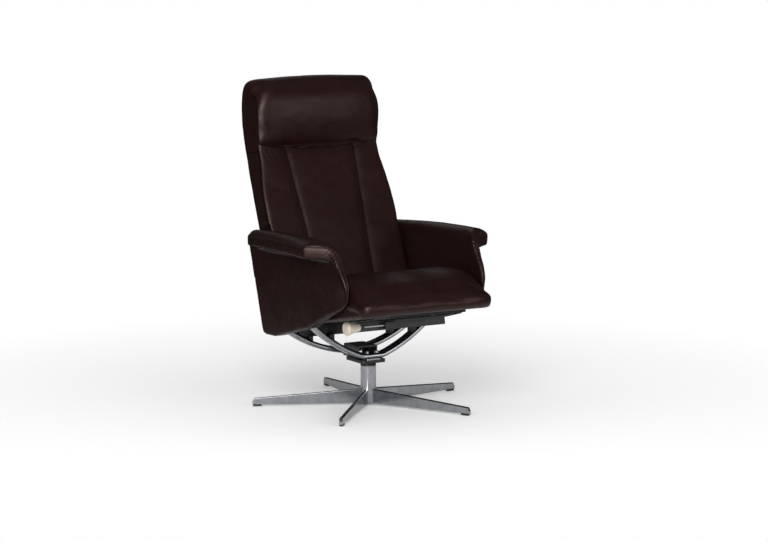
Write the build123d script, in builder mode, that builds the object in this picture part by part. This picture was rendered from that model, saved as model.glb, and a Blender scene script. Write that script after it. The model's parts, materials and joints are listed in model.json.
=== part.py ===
from build123d import *
import os
from math import atan2, cos, degrees, radians, sin, sqrt

os.makedirs("parts", exist_ok=True)

# A swivelling, reclining lounge armchair on a five-blade star base.
# Frame: origin on the floor on the swivel axis, the chair faces -Y, +Z is up.
# Left and right are the sitter's: right is -X, left is +X. Millimetres throughout.
RIGHT, LEFT = -1, 1

# ---- Star base and column
leg_count = 5
leg_first_angle = 10.2
leg_reach = 380.0
leg_thickness = 12.0
leg_hub_height = 47.0
leg_tip_height = 21.0
leg_edge_round = 2.5
glide_height = 6.0
glide_length = 27.0
column_radius = 25.5
column_wall = 3.0
column_top = 130.0
collar_height = 7.0
spindle_radius = 9.0
running_clearance = 0.05
bush_height = 22.0
foot_disc_thickness = 10.0
washer_thickness = 3.0
spindle_seat_gap = 0.2

# ---- Swivel plate and mechanism housing
spindle_head_radius = 14.0
spindle_head_height = 9.0
plate_z = 148.0
plate_thickness = 5.0
plate_width = 90.0
plate_length = 115.0
plate_front = -41.0
plate_lip = 5.0
housing_width = 72.0
housing_length = 94.0
housing_front = 3.0
housing_top = 193.0
housing_wall = 3.0
cover_width = 69.0
cover_length = 80.0
cover_thickness = 3.0
bolt_radius = 4.0
bolt_head_radius = 7.5
bolt_head_height = 5.0
nut_height = 5.0
bolt_clearance = 0.2
bolt_spread = 18.0

# ---- Chromed cradle bars (flat-oval section)
bar_width = 40.0
bar_thickness = 18.0
bar_flat = 26.0
bar_bend_radius = 60.0
bar_sweep = 34.0
front_bar_y = -20.0
front_bar_height = 166.0
front_bar_bend = 21.0
front_bar_sweep_radius = 520.0
rear_bar_y = 120.0
rear_bar_height = 166.0
rear_bar_bend = 8.0
rear_bar_sweep_radius = 440.0
front_saddle_rise = 62.0
rear_saddle_rise = 34.0
saddle_length = 30.0
saddle_height = 40.0

# ---- Arms
arm_inner = 246.0
arm_thickness = 40.0
arm_rear_tip = 300.0
arm_front_tip = 345.0
arm_tip_height = 545.0
arm_tip_climb = 17.0
arm_crest_rise = 17.0
arm_crown = 6.0
arm_cap_round = 28.0
arm_roll_depth = 107.0
arm_band_height = 38.0
arm_foot_height = 236.0
arm_foot_rear_y = 172.0
arm_foot_front_y = 104.0
arm_belly_y = -137.0
arm_belly_height = 298.0
arm_chin_y = -270.0
arm_chin_height = 372.0
arm_nose_height = 455.0
arm_board_thickness = 16.0
bracket_thickness = 4.0
bracket_height = 66.0
bracket_inset = 8.0
bracket_bolt_head = 2.2

# ---- Guide rails, seat frame and travel
rake = 10.5
rail_foot = 243.0
rail_outer = 165.0
rail_width = 20.0
rail_height = 32.0
rail_wall = 3.0
rail_front = -193.0
rail_rear = 165.0
slide_clearance = 0.3
shoe_length = 50.0
shoe_places = (-98.0, 100.0)
runner_thickness = 6.0
board_thickness = 7.0
board_width = 340.0
board_rear_width = 444.0
board_lift = 1.0
cushion_lift = 0.3

# ---- Tension knob
knob_radius = 23.0
knob_neck_radius = 11.5
knob_length = 54.0
knob_rod_radius = 3.0
knob_bore_depth = 30.0
knob_height = 15.0
knob_gap = 12.0
rod_bore_clearance = 0.1

# ---- Seat cushion and back
seat_half_width = 239.0
seat_rise = 10.0
seat_crest_drop = 11.0
seat_crest_y = -290.0
seat_nose = -410.0
seat_nose_height = 78.0
bar_room_front = -60.0
bar_room_inner = 205.0
bar_room_height = 80.0
hip_y = 182.0
hip_z = 378.0
roll_radius = 52.0
roll_clearance = 0.6
back_lean = 23.4
back_rear_lean = 21.4
back_half_width = 238.0
head_half_width = 233.0
seam_height = 838.0
seam_sag = 18.0
seam_spare = 4.0
head_front = 300.0
head_rear = 436.0
head_height = 216.0
back_shell_foot = 25.0
back_shell_head = 560.0
hinge_plate_length = 110.0
back_shell_thickness = 10.0
back_shell_corner = 24.0
back_cover_thickness = 30.0
channel_depth = 9.0
channel_width = 16.0
channel_top_x = 128.0
channel_foot_x = 104.0
channel_foot_z = 400.0
hinge_plate_thickness = 6.0
hinge_x = 199.0
back_shell_overhang = 1.0
hinge_gap = 4.0
pin_radius = 6.0
lug_radius = 15.0
lug_room = 3.0
recline_limit = 22.0

rake_sin, rake_cos = sin(radians(rake)), cos(radians(rake))
lean_sin, lean_cos = sin(radians(back_lean)), cos(radians(back_lean))


def seat_side(x):
    """Plane across the chair at x; sketch axes run backwards along the rake and up from it."""
    return Plane(origin=(x, 0, rail_foot), x_dir=(0, rake_cos, -rake_sin), z_dir=(1, 0, 0))


def seat_level(height):
    """Plane parallel to the guide rails, a height above their underside."""
    base = Plane(origin=(0, 0, rail_foot), x_dir=(1, 0, 0), z_dir=(0, rake_sin, rake_cos))
    return base.offset(height)


def to_seat(y, z):
    """A side-view point of the chair, as distance back along the rake and height above it."""
    up = z - rail_foot
    return (y * rake_cos - up * rake_sin, y * rake_sin + up * rake_cos)


def span(side, near, far):
    """Start and signed length of an extrusion from near to far out on one side."""
    return side * near, side * (far - near)


def mirrored(stations):
    """Stations listed from the side inwards, repeated on the other side of the middle."""
    return [(-x, *rest) for x, *rest in stations[:-1]] + list(reversed(stations))


# ============================================================ star base
with BuildPart() as base_column:
    with BuildSketch(Plane.XY.offset(glide_height)):
        Circle(column_radius)
        Circle(column_radius - column_wall, mode=Mode.SUBTRACT)
    extrude(amount=column_top - glide_height)


def blade_leg(index):
    angle = radians(leg_first_angle + index * 360 / leg_count)
    along = Plane(origin=(0, 0, 0), x_dir=(cos(angle), sin(angle), 0), z_dir=(sin(angle), -cos(angle), 0))
    with BuildPart() as leg:
        with BuildSketch(along):
            with BuildLine():
                Polyline(
                    (column_radius - column_wall, glide_height),
                    (leg_reach, glide_height),
                    (leg_reach, glide_height + leg_tip_height * 0.45),
                    (leg_reach - leg_tip_height * 0.3, glide_height + leg_tip_height),
                    (column_radius - column_wall, glide_height + leg_hub_height),
                    close=True,
                )
            make_face()
        extrude(amount=leg_thickness / 2, both=True)
        Cylinder(column_radius, 4 * leg_hub_height, mode=Mode.SUBTRACT)
        long_edges = leg.edges().filter_by(lambda edge: edge.length > leg_reach / 2)
        fillet(long_edges, leg_edge_round)
    return leg


legs = [blade_leg(index) for index in range(leg_count)]

with BuildPart() as floor_glides:
    with PolarLocations(leg_reach - 3 - glide_length / 2, leg_count, start_angle=leg_first_angle):
        Box(glide_length, leg_thickness - 1, glide_height, align=(Align.CENTER, Align.CENTER, Align.MIN))

with BuildPart() as column_collar:
    with BuildSketch(Plane.XY.offset(column_top)):
        Circle(column_radius)
        Circle(spindle_radius + 2, mode=Mode.SUBTRACT)
    extrude(amount=collar_height)
    fillet(column_collar.edges().group_by(Axis.Z)[-1].sort_by(SortBy.LENGTH)[-1], 2)

bore_radius = column_radius - column_wall
foot_disc_z = glide_height + 4

with BuildPart() as column_foot:
    with BuildSketch(Plane.XY.offset(foot_disc_z)):
        Circle(bore_radius - running_clearance)
    extrude(amount=foot_disc_thickness)

washer_z = foot_disc_z + foot_disc_thickness
with BuildPart() as thrust_washer:
    with BuildSketch(Plane.XY.offset(washer_z)):
        Circle(spindle_radius + 4)
    extrude(amount=washer_thickness)


def column_bush(z):
    with BuildPart() as bush:
        with BuildSketch(Plane.XY.offset(z)):
            Circle(bore_radius - running_clearance)
            Circle(spindle_radius + running_clearance, mode=Mode.SUBTRACT)
        extrude(amount=bush_height)
    return bush


lower_bush = column_bush(washer_z + washer_thickness + 4)
upper_bush = column_bush(column_top - bush_height - 0.5)

# ============================================================ swivelling chassis
spindle_foot = washer_z + washer_thickness + spindle_seat_gap
with BuildPart() as swivel_spindle:
    with BuildSketch(Plane.XZ):
        with BuildLine():
            Polyline(
                (0, spindle_foot),
                (spindle_radius, spindle_foot),
                (spindle_radius, plate_z - spindle_head_height),
                (spindle_head_radius, plate_z - spindle_head_height + 2),
                (spindle_head_radius + 4, plate_z),
                (0, plate_z),
                close=True,
            )
        make_face()
    revolve(axis=Axis.Z)

front_bolts = [(x, front_bar_y) for x in (-bolt_spread, bolt_spread)]
rear_bolts = [(x, rear_bar_y) for x in (-bolt_spread, bolt_spread)]
plate_middle = plate_front + plate_length / 2

with BuildPart() as swivel_plate:
    with BuildSketch(Plane.XY.offset(plate_z - plate_lip)):
        with Locations((0, plate_middle)):
            RectangleRounded(plate_width, plate_length, 12)
    extrude(amount=plate_lip + plate_thickness)
    with BuildSketch(Plane.XY.offset(plate_z - plate_lip)):
        with Locations((0, plate_middle)):
            RectangleRounded(plate_width - 6, plate_length - 6, 9)
    extrude(amount=plate_lip, mode=Mode.SUBTRACT)
    with Locations(*[(x, y, plate_z) for x, y in front_bolts]):
        Cylinder(bolt_radius + bolt_clearance, 4 * plate_thickness, mode=Mode.SUBTRACT)

plate_top = plate_z + plate_thickness
front_bar_foot = front_bar_height - bar_thickness / 2
rear_bar_foot = rear_bar_height - bar_thickness / 2

with BuildPart() as front_spacer:
    with BuildSketch(Plane.XY.offset(plate_top)):
        with Locations((0, front_bar_y)):
            RectangleRounded(2 * bar_flat, bar_width - 4, 4)
        with Locations(*front_bolts):
            Circle(bolt_radius + bolt_clearance, mode=Mode.SUBTRACT)
    extrude(amount=front_bar_foot - plate_top)

housing_rear = housing_front + housing_length
tongue_rear = rear_bar_y + bar_width / 2
housing_height = housing_top - plate_top
with BuildPart() as mechanism_housing:
    with BuildSketch(Plane.XZ.offset(-housing_front)):
        with Locations((0, (plate_top + housing_top) / 2)):
            Rectangle(housing_width, housing_height)
            Rectangle(housing_width - 2 * housing_wall, housing_height - 2 * housing_wall, mode=Mode.SUBTRACT)
    extrude(amount=-housing_length)
    top_edges = mechanism_housing.edges().filter_by(Axis.Y).group_by(Axis.Z)[-1]
    fillet(top_edges, housing_wall * 0.9)
    with BuildSketch(Plane.XY.offset(plate_top)):
        with Locations((0, (housing_rear + tongue_rear) / 2 - 1)):
            Rectangle(2 * bar_flat, tongue_rear - housing_rear + 2)
        with Locations(*rear_bolts):
            Circle(bolt_radius + bolt_clearance, mode=Mode.SUBTRACT)
    extrude(amount=rear_bar_foot - plate_top)

cover_middle = housing_front + cover_length / 2
with BuildPart() as housing_cover:
    with BuildSketch(Plane.XY.offset(housing_top)):
        with Locations((0, cover_middle)):
            RectangleRounded(cover_width, cover_length, 10)
    extrude(amount=cover_thickness)
    chamfer(housing_cover.edges().group_by(Axis.Z)[-1], cover_thickness * 0.6, cover_thickness * 2)


def cradle_bar(y, height, bend, sweep_radius, bolts):
    """One flat-oval bar, level in the middle and sweeping up to the arm brackets at both ends."""
    end_x = arm_inner - bracket_thickness
    with BuildPart() as bar:
        with BuildLine(Plane.XZ.offset(-y)) as half_path:
            middle = Line((0, height), (bar_flat, height))
            corner = JernArc(middle @ 1, middle % 1, bar_bend_radius, bend)
            JernArc(corner @ 1, corner % 1, sweep_radius, bar_sweep)
        with BuildSketch(Plane(origin=(0, y, height), x_dir=(0, 1, 0), z_dir=(1, 0, 0))):
            SlotOverall(bar_width, bar_thickness)
        sweep(path=half_path.wires()[0])
        split(bisect_by=Plane.YZ.offset(end_x), keep=Keep.BOTTOM)
        mirror(about=Plane.YZ)
        with Locations(*[(x, place_y, height) for x, place_y in bolts]):
            Cylinder(bolt_radius + bolt_clearance, 2 * bar_thickness, mode=Mode.SUBTRACT)
    return bar


cradle_bar_front = cradle_bar(
    front_bar_y, front_bar_height, front_bar_bend, front_bar_sweep_radius, front_bolts
)
cradle_bar_rear = cradle_bar(rear_bar_y, rear_bar_height, rear_bar_bend, rear_bar_sweep_radius, rear_bolts)

with BuildPart() as clamp_bolts:
    for places, top, foot in (
        (front_bolts, front_bar_height + bar_thickness / 2, plate_z),
        (rear_bolts, rear_bar_height + bar_thickness / 2, plate_top),
    ):
        with BuildSketch(Plane.XY.offset(top)):
            with Locations(*places):
                RegularPolygon(bolt_head_radius, 6)
        extrude(amount=bolt_head_height)
        with BuildSketch(Plane.XY.offset(foot - nut_height - 2)):
            with Locations(*places):
                Circle(bolt_radius)
        extrude(amount=top - foot + nut_height + 2)

with BuildPart() as clamp_nuts:
    for places, foot in ((front_bolts, plate_z), (rear_bolts, plate_top)):
        with BuildSketch(Plane.XY.offset(foot - nut_height)):
            with Locations(*places):
                RegularPolygon(bolt_head_radius, 6)
                Circle(bolt_radius, mode=Mode.SUBTRACT)
        extrude(amount=nut_height)


# ---- guide rails: two C-channels open towards the middle, joined by two box cross rails
def guide_rail(side):
    near = rail_outer - rail_width
    start, length = span(side, near, rail_outer)
    with BuildPart() as rail:
        with BuildSketch(seat_side(start)):
            with Locations(((rail_front + rail_rear) / 2, rail_height / 2)):
                Rectangle(rail_rear - rail_front, rail_height)
        extrude(amount=length)
        with BuildSketch(seat_side(start)):
            with Locations(((rail_front + rail_rear) / 2, rail_height / 2)):
                Rectangle(rail_rear - rail_front, rail_height - 2 * rail_wall)
        extrude(amount=length - side * rail_wall, mode=Mode.SUBTRACT)
    return rail


def cross_rail(start):
    """A box rail across the chair, with its front face at start along the rake."""
    with BuildPart() as rail:
        with BuildSketch(seat_side(-rail_outer)):
            with Locations((start + rail_width / 2, rail_height / 2)):
                RectangleRounded(rail_width, rail_height, rail_wall)
                offset(amount=-rail_wall, kind=Kind.INTERSECTION, mode=Mode.SUBTRACT)
        extrude(amount=2 * rail_outer)
    return rail


guide_rail_right, guide_rail_left = guide_rail(RIGHT), guide_rail(LEFT)
cross_rail_front = cross_rail(rail_front - rail_width)
cross_rail_rear = cross_rail(rail_rear)

saddle_middle = rail_outer - rail_width / 2
with BuildPart() as rail_saddles:
    for y, bar, height in (
        (front_bar_y, cradle_bar_front, front_bar_height + front_saddle_rise),
        (rear_bar_y, cradle_bar_rear, rear_bar_height + rear_saddle_rise),
    ):
        with Locations((-saddle_middle, y, height), (saddle_middle, y, height)):
            Box(
                rail_width - 4,
                saddle_length,
                saddle_height,
                align=(Align.CENTER, Align.CENTER, Align.MIN),
            )
        add(bar.part, mode=Mode.SUBTRACT)
    split(bisect_by=seat_level(0), keep=Keep.BOTTOM)

# ---- arm brackets: plates on the arms' inner faces that the cradle bars end on
arm_outer = arm_inner + arm_thickness
arm_crest_height = arm_tip_height + arm_crest_rise
arm_panel_height = arm_crest_height - arm_roll_depth
arm_rear_y, arm_tip_y = 262.0, -192.0
arm_nose_y = -292.0
arm_cap_y = -240.0
arm_highest = arm_crest_height + arm_tip_climb + arm_crown
bracket_front_y = front_bar_y - bar_width / 2 - 4
bracket_rear_y = rear_bar_y + bar_width / 2 + 6


def arm_floor(y):
    """Height of the arm's underside: level at the rear, then rising towards the front."""
    slope = (arm_belly_height - arm_foot_height) / (arm_foot_front_y - arm_belly_y)
    return arm_foot_height + max(0.0, arm_foot_front_y - y) * slope


def bracket_top(y):
    return arm_floor(y) + bracket_inset + bracket_height


bracket_bolt_y = (front_bar_y, (front_bar_y + rear_bar_y) / 2 + 10, rear_bar_y + 8)
bracket_bolts_at = [(y, bracket_top(y) - 12) for y in bracket_bolt_y]


def arm_bracket(side):
    start, length = span(side, arm_inner - bracket_thickness, arm_inner)
    with BuildPart() as bracket:
        with BuildSketch(Plane.YZ.offset(start)):
            with BuildLine():
                Polyline(
                    (bracket_front_y, arm_floor(bracket_front_y) + bracket_inset),
                    (bracket_rear_y, arm_floor(bracket_rear_y) + bracket_inset),
                    (bracket_rear_y, bracket_top(bracket_rear_y)),
                    (bracket_front_y, bracket_top(bracket_front_y)),
                    close=True,
                )
            make_face()
            fillet(vertices(), 8)
            with Locations(*bracket_bolts_at):
                Circle(bolt_radius + bolt_clearance, mode=Mode.SUBTRACT)
        extrude(amount=length)
    return bracket


arm_bracket_right, arm_bracket_left = arm_bracket(RIGHT), arm_bracket(LEFT)


def arm_reach(y):
    """How far out the cap's tip stands: it spreads from the rear to the tip, then runs straight."""
    share = (arm_rear_y - max(y, arm_tip_y)) / (arm_rear_y - arm_tip_y)
    return arm_rear_tip + (arm_front_tip - arm_rear_tip) * share


def arm_climb(y):
    """Rise of the cap above its rear end: steady towards the front, with a slight crown."""
    share = (arm_rear_y - y) / (arm_rear_y - arm_tip_y)
    return arm_tip_climb * share + 4 * arm_crown * share * (1 - share)


def arm_section(y, side):
    """Cross-section of the arm: upright panel with a cap that rolls outwards to a banded tip."""
    floor = arm_foot_height - 10
    inner, outer = side * arm_inner, side * arm_outer
    tip_x, climb = arm_reach(y), arm_climb(y)
    tip, lip = side * tip_x, side * (tip_x - 4)
    crest = side * (arm_inner + 0.42 * (tip_x - arm_inner))
    crest_height, tip_height = arm_crest_height + climb, arm_tip_height + climb
    lip_height = tip_height - arm_band_height
    neck_height = lip_height - 12
    roll_foot = crest_height - arm_roll_depth
    with BuildSketch(Plane.XZ.offset(-y)) as section:
        with BuildLine():
            Line((inner, floor), (inner, roll_foot))
            ThreePointArc(
                (inner, roll_foot),
                (side * (arm_inner + 7), roll_foot + 0.6 * arm_roll_depth),
                (crest, crest_height),
            )
            ThreePointArc(
                (crest, crest_height),
                ((crest + tip) / 2 + side * 4, crest_height - 3),
                (tip, tip_height),
            )
            Line((tip, tip_height), (lip, lip_height))
            ThreePointArc((lip, lip_height), ((lip + outer) / 2, neck_height + 3), (outer, neck_height - 8))
            Polyline((outer, neck_height - 8), (outer, floor), (inner, floor))
        make_face()
    return section


arm_board_near = arm_inner + 12
board_inset = 22.0


def arm_board(side):
    """Plywood board inside the arm, open to its underside, that the bracket is bolted to."""
    start, length = span(side, arm_board_near, arm_board_near + arm_board_thickness)
    with BuildPart() as board:
        with BuildSketch(Plane.YZ.offset(start)):
            with BuildLine():
                Polyline(
                    (arm_foot_rear_y - board_inset, arm_foot_height),
                    (arm_foot_front_y, arm_foot_height),
                    (arm_belly_y, arm_belly_height),
                    (arm_chin_y + 2 * board_inset, arm_chin_height + board_inset),
                    (arm_chin_y + 3 * board_inset, arm_panel_height + 10),
                    (arm_rear_y - 2 * board_inset, arm_panel_height + 10),
                    close=True,
                )
            make_face()
            with Locations(*bracket_bolts_at):
                Circle(bolt_radius, mode=Mode.SUBTRACT)
        extrude(amount=length)
    return board


arm_board_right, arm_board_left = arm_board(RIGHT), arm_board(LEFT)
arm_boards = {RIGHT: arm_board_right, LEFT: arm_board_left}

bracket_face = arm_inner - bracket_thickness
with BuildPart() as bracket_bolts:
    for side in (RIGHT, LEFT):
        face, head = span(side, bracket_face, bracket_face - bracket_bolt_head)
        with BuildSketch(Plane.YZ.offset(face)):
            with Locations(*bracket_bolts_at):
                Circle(2 * bolt_radius)
        extrude(amount=head)
        with BuildSketch(Plane.YZ.offset(face)):
            with Locations(*bracket_bolts_at):
                Circle(bolt_radius)
        extrude(amount=side * (arm_board_near + arm_board_thickness) - face)


def arm_upholstery(side):
    shares = (-0.05, 0.25, 0.5, 0.75, 1.0)
    places = [arm_rear_y + (arm_tip_y - arm_rear_y) * share for share in shares]
    sections = [arm_section(y, side) for y in (*places, arm_nose_y - 20)]
    with BuildPart() as arm:
        for section in sections:
            add(section.sketch)
        loft(ruled=True)
        # The side outline: rear edge leaning back, front edge sloping forwards and down.
        with BuildSketch(Plane.YZ):
            with BuildLine():
                Polyline(
                    (arm_rear_y + 14, arm_highest + 10),
                    (arm_foot_rear_y, arm_foot_height),
                    (arm_foot_front_y, arm_foot_height),
                    (arm_belly_y, arm_belly_height),
                    (arm_chin_y + 66, arm_chin_height - 42),
                    (arm_chin_y, arm_chin_height),
                    (arm_nose_y + 2, arm_chin_height + 28),
                    (arm_nose_y, arm_nose_height),
                    (arm_cap_y + 4, arm_highest + 2),
                    close=True,
                )
            make_face()
            lower_corners = vertices().filter_by(lambda point: point.Y < arm_tip_height - arm_band_height)
            fillet(lower_corners, 12)
            cap_corner = vertices().filter_by(lambda point: point.Y > arm_tip_height).sort_by(Axis.X)[0]
            fillet(cap_corner, arm_cap_round)
        extrude(amount=side * 400, mode=Mode.INTERSECT)
        # The rolled cap is cut back obliquely from the panel's front edge to its outer tip.
        with BuildSketch(Plane.XY.offset(arm_tip_height - 2 * arm_band_height - 20)):
            with BuildLine():
                Polyline(
                    (side * arm_outer, arm_nose_y - 60),
                    (side * arm_outer, arm_cap_y),
                    (side * (arm_front_tip + 14), arm_tip_y + 10),
                    (side * (arm_front_tip + 14), arm_nose_y - 60),
                    close=True,
                )
            make_face()
        extrude(amount=200, mode=Mode.SUBTRACT)
        add(arm_boards[side].part, mode=Mode.SUBTRACT)
        with BuildSketch(Plane.YZ.offset(side * arm_inner)):
            with Locations(*bracket_bolts_at):
                Circle(bolt_radius + bolt_clearance)
        extrude(amount=side * (arm_board_near + arm_board_thickness - arm_inner), mode=Mode.SUBTRACT)
    return arm


arm_right, arm_left = arm_upholstery(RIGHT), arm_upholstery(LEFT)

# ============================================================ tension knob on its rod
rod_y = rail_front - rail_width - knob_gap
rod_inner_x, knob_neck_x = -40.0, -(rail_outer - 4)
knob_end_x = knob_neck_x - knob_length


def rod_plane(x):
    """Plane across the knob's rod at x, centred on the rod's axis."""
    origin = seat_side(x).from_local_coords((rod_y, knob_height, 0))
    return Plane(origin=origin, x_dir=(0, rake_cos, -rake_sin), z_dir=(1, 0, 0))


rod_axis = Axis(origin=rod_plane(0).origin, direction=(1, 0, 0))

with BuildPart() as tension_knob:
    with BuildSketch(Plane(origin=rod_plane(0).origin, x_dir=(1, 0, 0), z_dir=(0, -1, 0))):
        with BuildLine():
            Polyline(
                (knob_neck_x, 0),
                (knob_neck_x, knob_neck_radius - 2),
                (knob_neck_x - 2, knob_neck_radius),
            )
            Spline(
                (knob_neck_x - 2, knob_neck_radius),
                (knob_neck_x - knob_length * 0.45, knob_radius * 0.72),
                (knob_end_x + 8, knob_radius),
            )
            ThreePointArc(
                (knob_end_x + 8, knob_radius),
                (knob_end_x + 2.5, knob_radius - 3),
                (knob_end_x, knob_radius - 9),
            )
            Polyline((knob_end_x, knob_radius - 9), (knob_end_x, 0), (knob_neck_x, 0))
        make_face()
    revolve(axis=rod_axis)
    with BuildSketch(rod_plane(knob_neck_x - knob_bore_depth)):
        Circle(knob_rod_radius + running_clearance)
    extrude(amount=2 * knob_bore_depth, mode=Mode.SUBTRACT)

rod_in_knob = knob_bore_depth - 0.5
with BuildPart() as knob_rod:
    with BuildSketch(rod_plane(knob_neck_x - rod_in_knob)):
        Circle(knob_rod_radius)
    extrude(amount=rod_in_knob + rod_inner_x - knob_neck_x)


def rod_block(start, length, depth):
    """A block on the front cross rail's face, bored for the knob's rod."""
    with BuildPart() as block:
        with BuildSketch(seat_side(start)):
            with Locations(((rail_front - rail_width + rod_y - depth) / 2, knob_height)):
                RectangleRounded(rail_front - rail_width - rod_y + depth, 2 * depth, 3)
            with Locations((rod_y, knob_height)):
                Circle(knob_rod_radius + rod_bore_clearance, mode=Mode.SUBTRACT)
        extrude(amount=length)
    return block


rod_guide = rod_block(knob_neck_x + 6, 8, 7)
tension_block = rod_block(rod_inner_x - 30, 36, 11)

# ============================================================ sliding seat
board_foot = rail_height + board_lift
board_top = board_foot + board_thickness
hip_back, hip_up = to_seat(hip_y, hip_z)
cradle_radius = roll_radius + roll_clearance
seat_top = hip_up + seat_rise
seat_crest = seat_top - seat_crest_drop
board_front, board_rear = seat_nose + 45, hip_back + 6
lug_front, lug_rear = hip_back - 46, hip_back - 8

with BuildPart() as seat_board:
    with BuildSketch(seat_level(board_foot)):
        with BuildLine():
            Polyline(
                (-board_width / 2, board_front + 30),
                (-board_width / 2 + 40, board_front),
                (board_width / 2 - 40, board_front),
                (board_width / 2, board_front + 30),
                (board_width / 2, lug_front - 20),
                (board_rear_width / 2, lug_front - 4),
                (board_rear_width / 2, board_rear),
                (-board_rear_width / 2, board_rear),
                (-board_rear_width / 2, lug_front - 4),
                (-board_width / 2, lug_front - 20),
                close=True,
            )
        make_face()
    extrude(amount=board_thickness)

runner_far = rail_outer - rail_width - 0.5
runner_near = runner_far - runner_thickness


def seat_runner(side):
    start, length = span(side, runner_near, runner_far)
    with BuildPart() as runner:
        with BuildSketch(seat_side(start)):
            with Locations((sum(shoe_places) / 2, (rail_wall + board_foot) / 2 + 1)):
                Rectangle(shoe_places[1] - shoe_places[0] + shoe_length, board_foot - rail_wall - 2)
        extrude(amount=length)
    return runner


seat_runner_right, seat_runner_left = seat_runner(RIGHT), seat_runner(LEFT)

shoe_height = rail_height - 2 * rail_wall - 2 * slide_clearance
with BuildPart() as glide_shoes:
    for side in (RIGHT, LEFT):
        start, length = span(side, runner_far, rail_outer - rail_wall - slide_clearance)
        with BuildSketch(seat_side(start)):
            with Locations(*[(place, rail_height / 2) for place in shoe_places]):
                RectangleRounded(shoe_length, shoe_height, 4)
        extrude(amount=length)


lug_inner = hinge_x + hinge_gap / 2
lug_outer = lug_inner + hinge_plate_thickness


def hinge_lug(side):
    """Upright steel plate on the seat board that holds the hip pin."""
    start, length = span(side, lug_inner, lug_outer)
    with BuildPart() as lug:
        with BuildSketch(seat_side(start)):
            with BuildLine():
                Polyline(
                    (lug_front, board_top),
                    (lug_rear, board_top),
                    (hip_back + lug_radius, hip_up),
                    (hip_back, hip_up + lug_radius),
                    (hip_back - lug_radius, hip_up),
                    close=True,
                )
            make_face()
            with Locations((hip_back, hip_up)):
                Circle(lug_radius)
                Circle(pin_radius + running_clearance, mode=Mode.SUBTRACT)
        extrude(amount=length)
    return lug


hinge_lug_right, hinge_lug_left = hinge_lug(RIGHT), hinge_lug(LEFT)

pin_inner = hinge_x - hinge_gap / 2 - hinge_plate_thickness - 2
pin_outer = lug_outer + 2
with BuildPart() as hip_pins:
    for side in (RIGHT, LEFT):
        start, length = span(side, pin_inner, pin_outer)
        with BuildSketch(Plane.YZ.offset(start)):
            with Locations((hip_y, hip_z)):
                Circle(pin_radius)
        extrude(amount=length)

cushion_foot = board_top + cushion_lift
# The sections' round end stands inside the cradle, which is cut to its exact radius afterwards.
hollow_radius = cradle_radius - 3
hollow_middle = hollow_radius * cos(radians(45))


def seat_section(x, drop):
    """Side profile of the seat cushion; drop draws it in near its sides."""
    top, crest, foot = seat_top - drop, seat_crest - drop, cushion_foot - 2
    nose = seat_nose + drop
    hollow_top = (hip_back - sqrt(hollow_radius**2 - (top - hip_up) ** 2), top)
    arc_end = radians(-66)
    hollow_end = (hip_back + hollow_radius * cos(arc_end), hip_up + hollow_radius * sin(arc_end))
    rear = (hollow_end[0] + 4, foot + 14)
    with BuildSketch(seat_side(x)) as section:
        with BuildLine():
            Spline(
                hollow_top,
                (-100, top + 4 - drop * 0.2),
                (seat_crest_y, crest),
                (seat_nose + 52, crest - 48),
                (nose, seat_nose_height),
            )
            ThreePointArc((nose, seat_nose_height), (nose + 7, foot + 12), (nose + 26, foot))
            Line((nose + 26, foot), (rear[0] - 14, foot))
            ThreePointArc((rear[0] - 14, foot), (rear[0] - 4, foot + 4), rear)
            Line(rear, hollow_end)
            ThreePointArc(hollow_end, (hip_back - hollow_middle, hip_up - hollow_middle), hollow_top)
        make_face()
    return section


def seat_across(y):
    """Plane across the seat at a distance back along the rake; sketch axes run left and up."""
    origin = seat_side(0).from_local_coords((y, 0, 0))
    return Plane(origin=origin, x_dir=(1, 0, 0), z_dir=(0, -rake_cos, rake_sin))


seat_stations = ((seat_half_width, 26), (seat_half_width - 11, 11), (seat_half_width - 34, 2), (0.0, 0))
with BuildPart() as seat_cushion:
    for x, drop in mirrored(seat_stations):
        add(seat_section(x, drop).sketch)
    loft()
    split(bisect_by=seat_level(cushion_foot), keep=Keep.TOP)
    with BuildSketch(Plane.YZ.offset(-seat_half_width - 10)):
        with Locations((hip_y, hip_z)):
            Circle(cradle_radius)
    extrude(amount=2 * seat_half_width + 20, mode=Mode.SUBTRACT)
    for side in (RIGHT, LEFT):
        # Room for the cradle bars where they rise beside the seat.
        with BuildSketch(seat_across(bar_room_front)):
            with BuildLine():
                Polyline(
                    (side * bar_room_inner, cushion_foot - 5),
                    (side * bar_room_inner, cushion_foot),
                    (side * (seat_half_width + 3), bar_room_height),
                    (side * (seat_half_width + 3), cushion_foot - 5),
                    close=True,
                )
            make_face()
        extrude(amount=bar_room_front - board_rear - 20, mode=Mode.SUBTRACT)
    for side in (RIGHT, LEFT):
        start, length = span(side, lug_inner - 1, lug_outer + 1)
        with BuildSketch(seat_side(start)):
            with BuildLine():
                Polyline(
                    (lug_front - 2, cushion_foot - 5),
                    (board_rear + 2, cushion_foot - 5),
                    (board_rear + 2, hip_up),
                    (lug_front - 2, hip_up),
                    close=True,
                )
            make_face()
        extrude(amount=length, mode=Mode.SUBTRACT)

# ============================================================ reclining back

rear_sin, rear_cos = sin(radians(back_rear_lean)), cos(radians(back_rear_lean))
split_depth = roll_radius - back_cover_thickness


def back_rear(depth, along):
    """Side-view point of the back: depth behind the hip axis and distance up the rear slope."""
    return (hip_y + depth * rear_cos + along * rear_sin, hip_z - depth * rear_sin + along * rear_cos)


def rear_at(depth, z):
    """Point of a line parallel to the rear face, a depth behind the hip axis, at a height."""
    return back_rear(depth, (z - hip_z + depth * rear_sin) / rear_cos)


def roll_point(radius, angle):
    """Point of a circle about the hip axis in side view; 90 degrees is straight up."""
    return (hip_y + radius * cos(radians(angle)), hip_z + radius * sin(radians(angle)))


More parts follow.
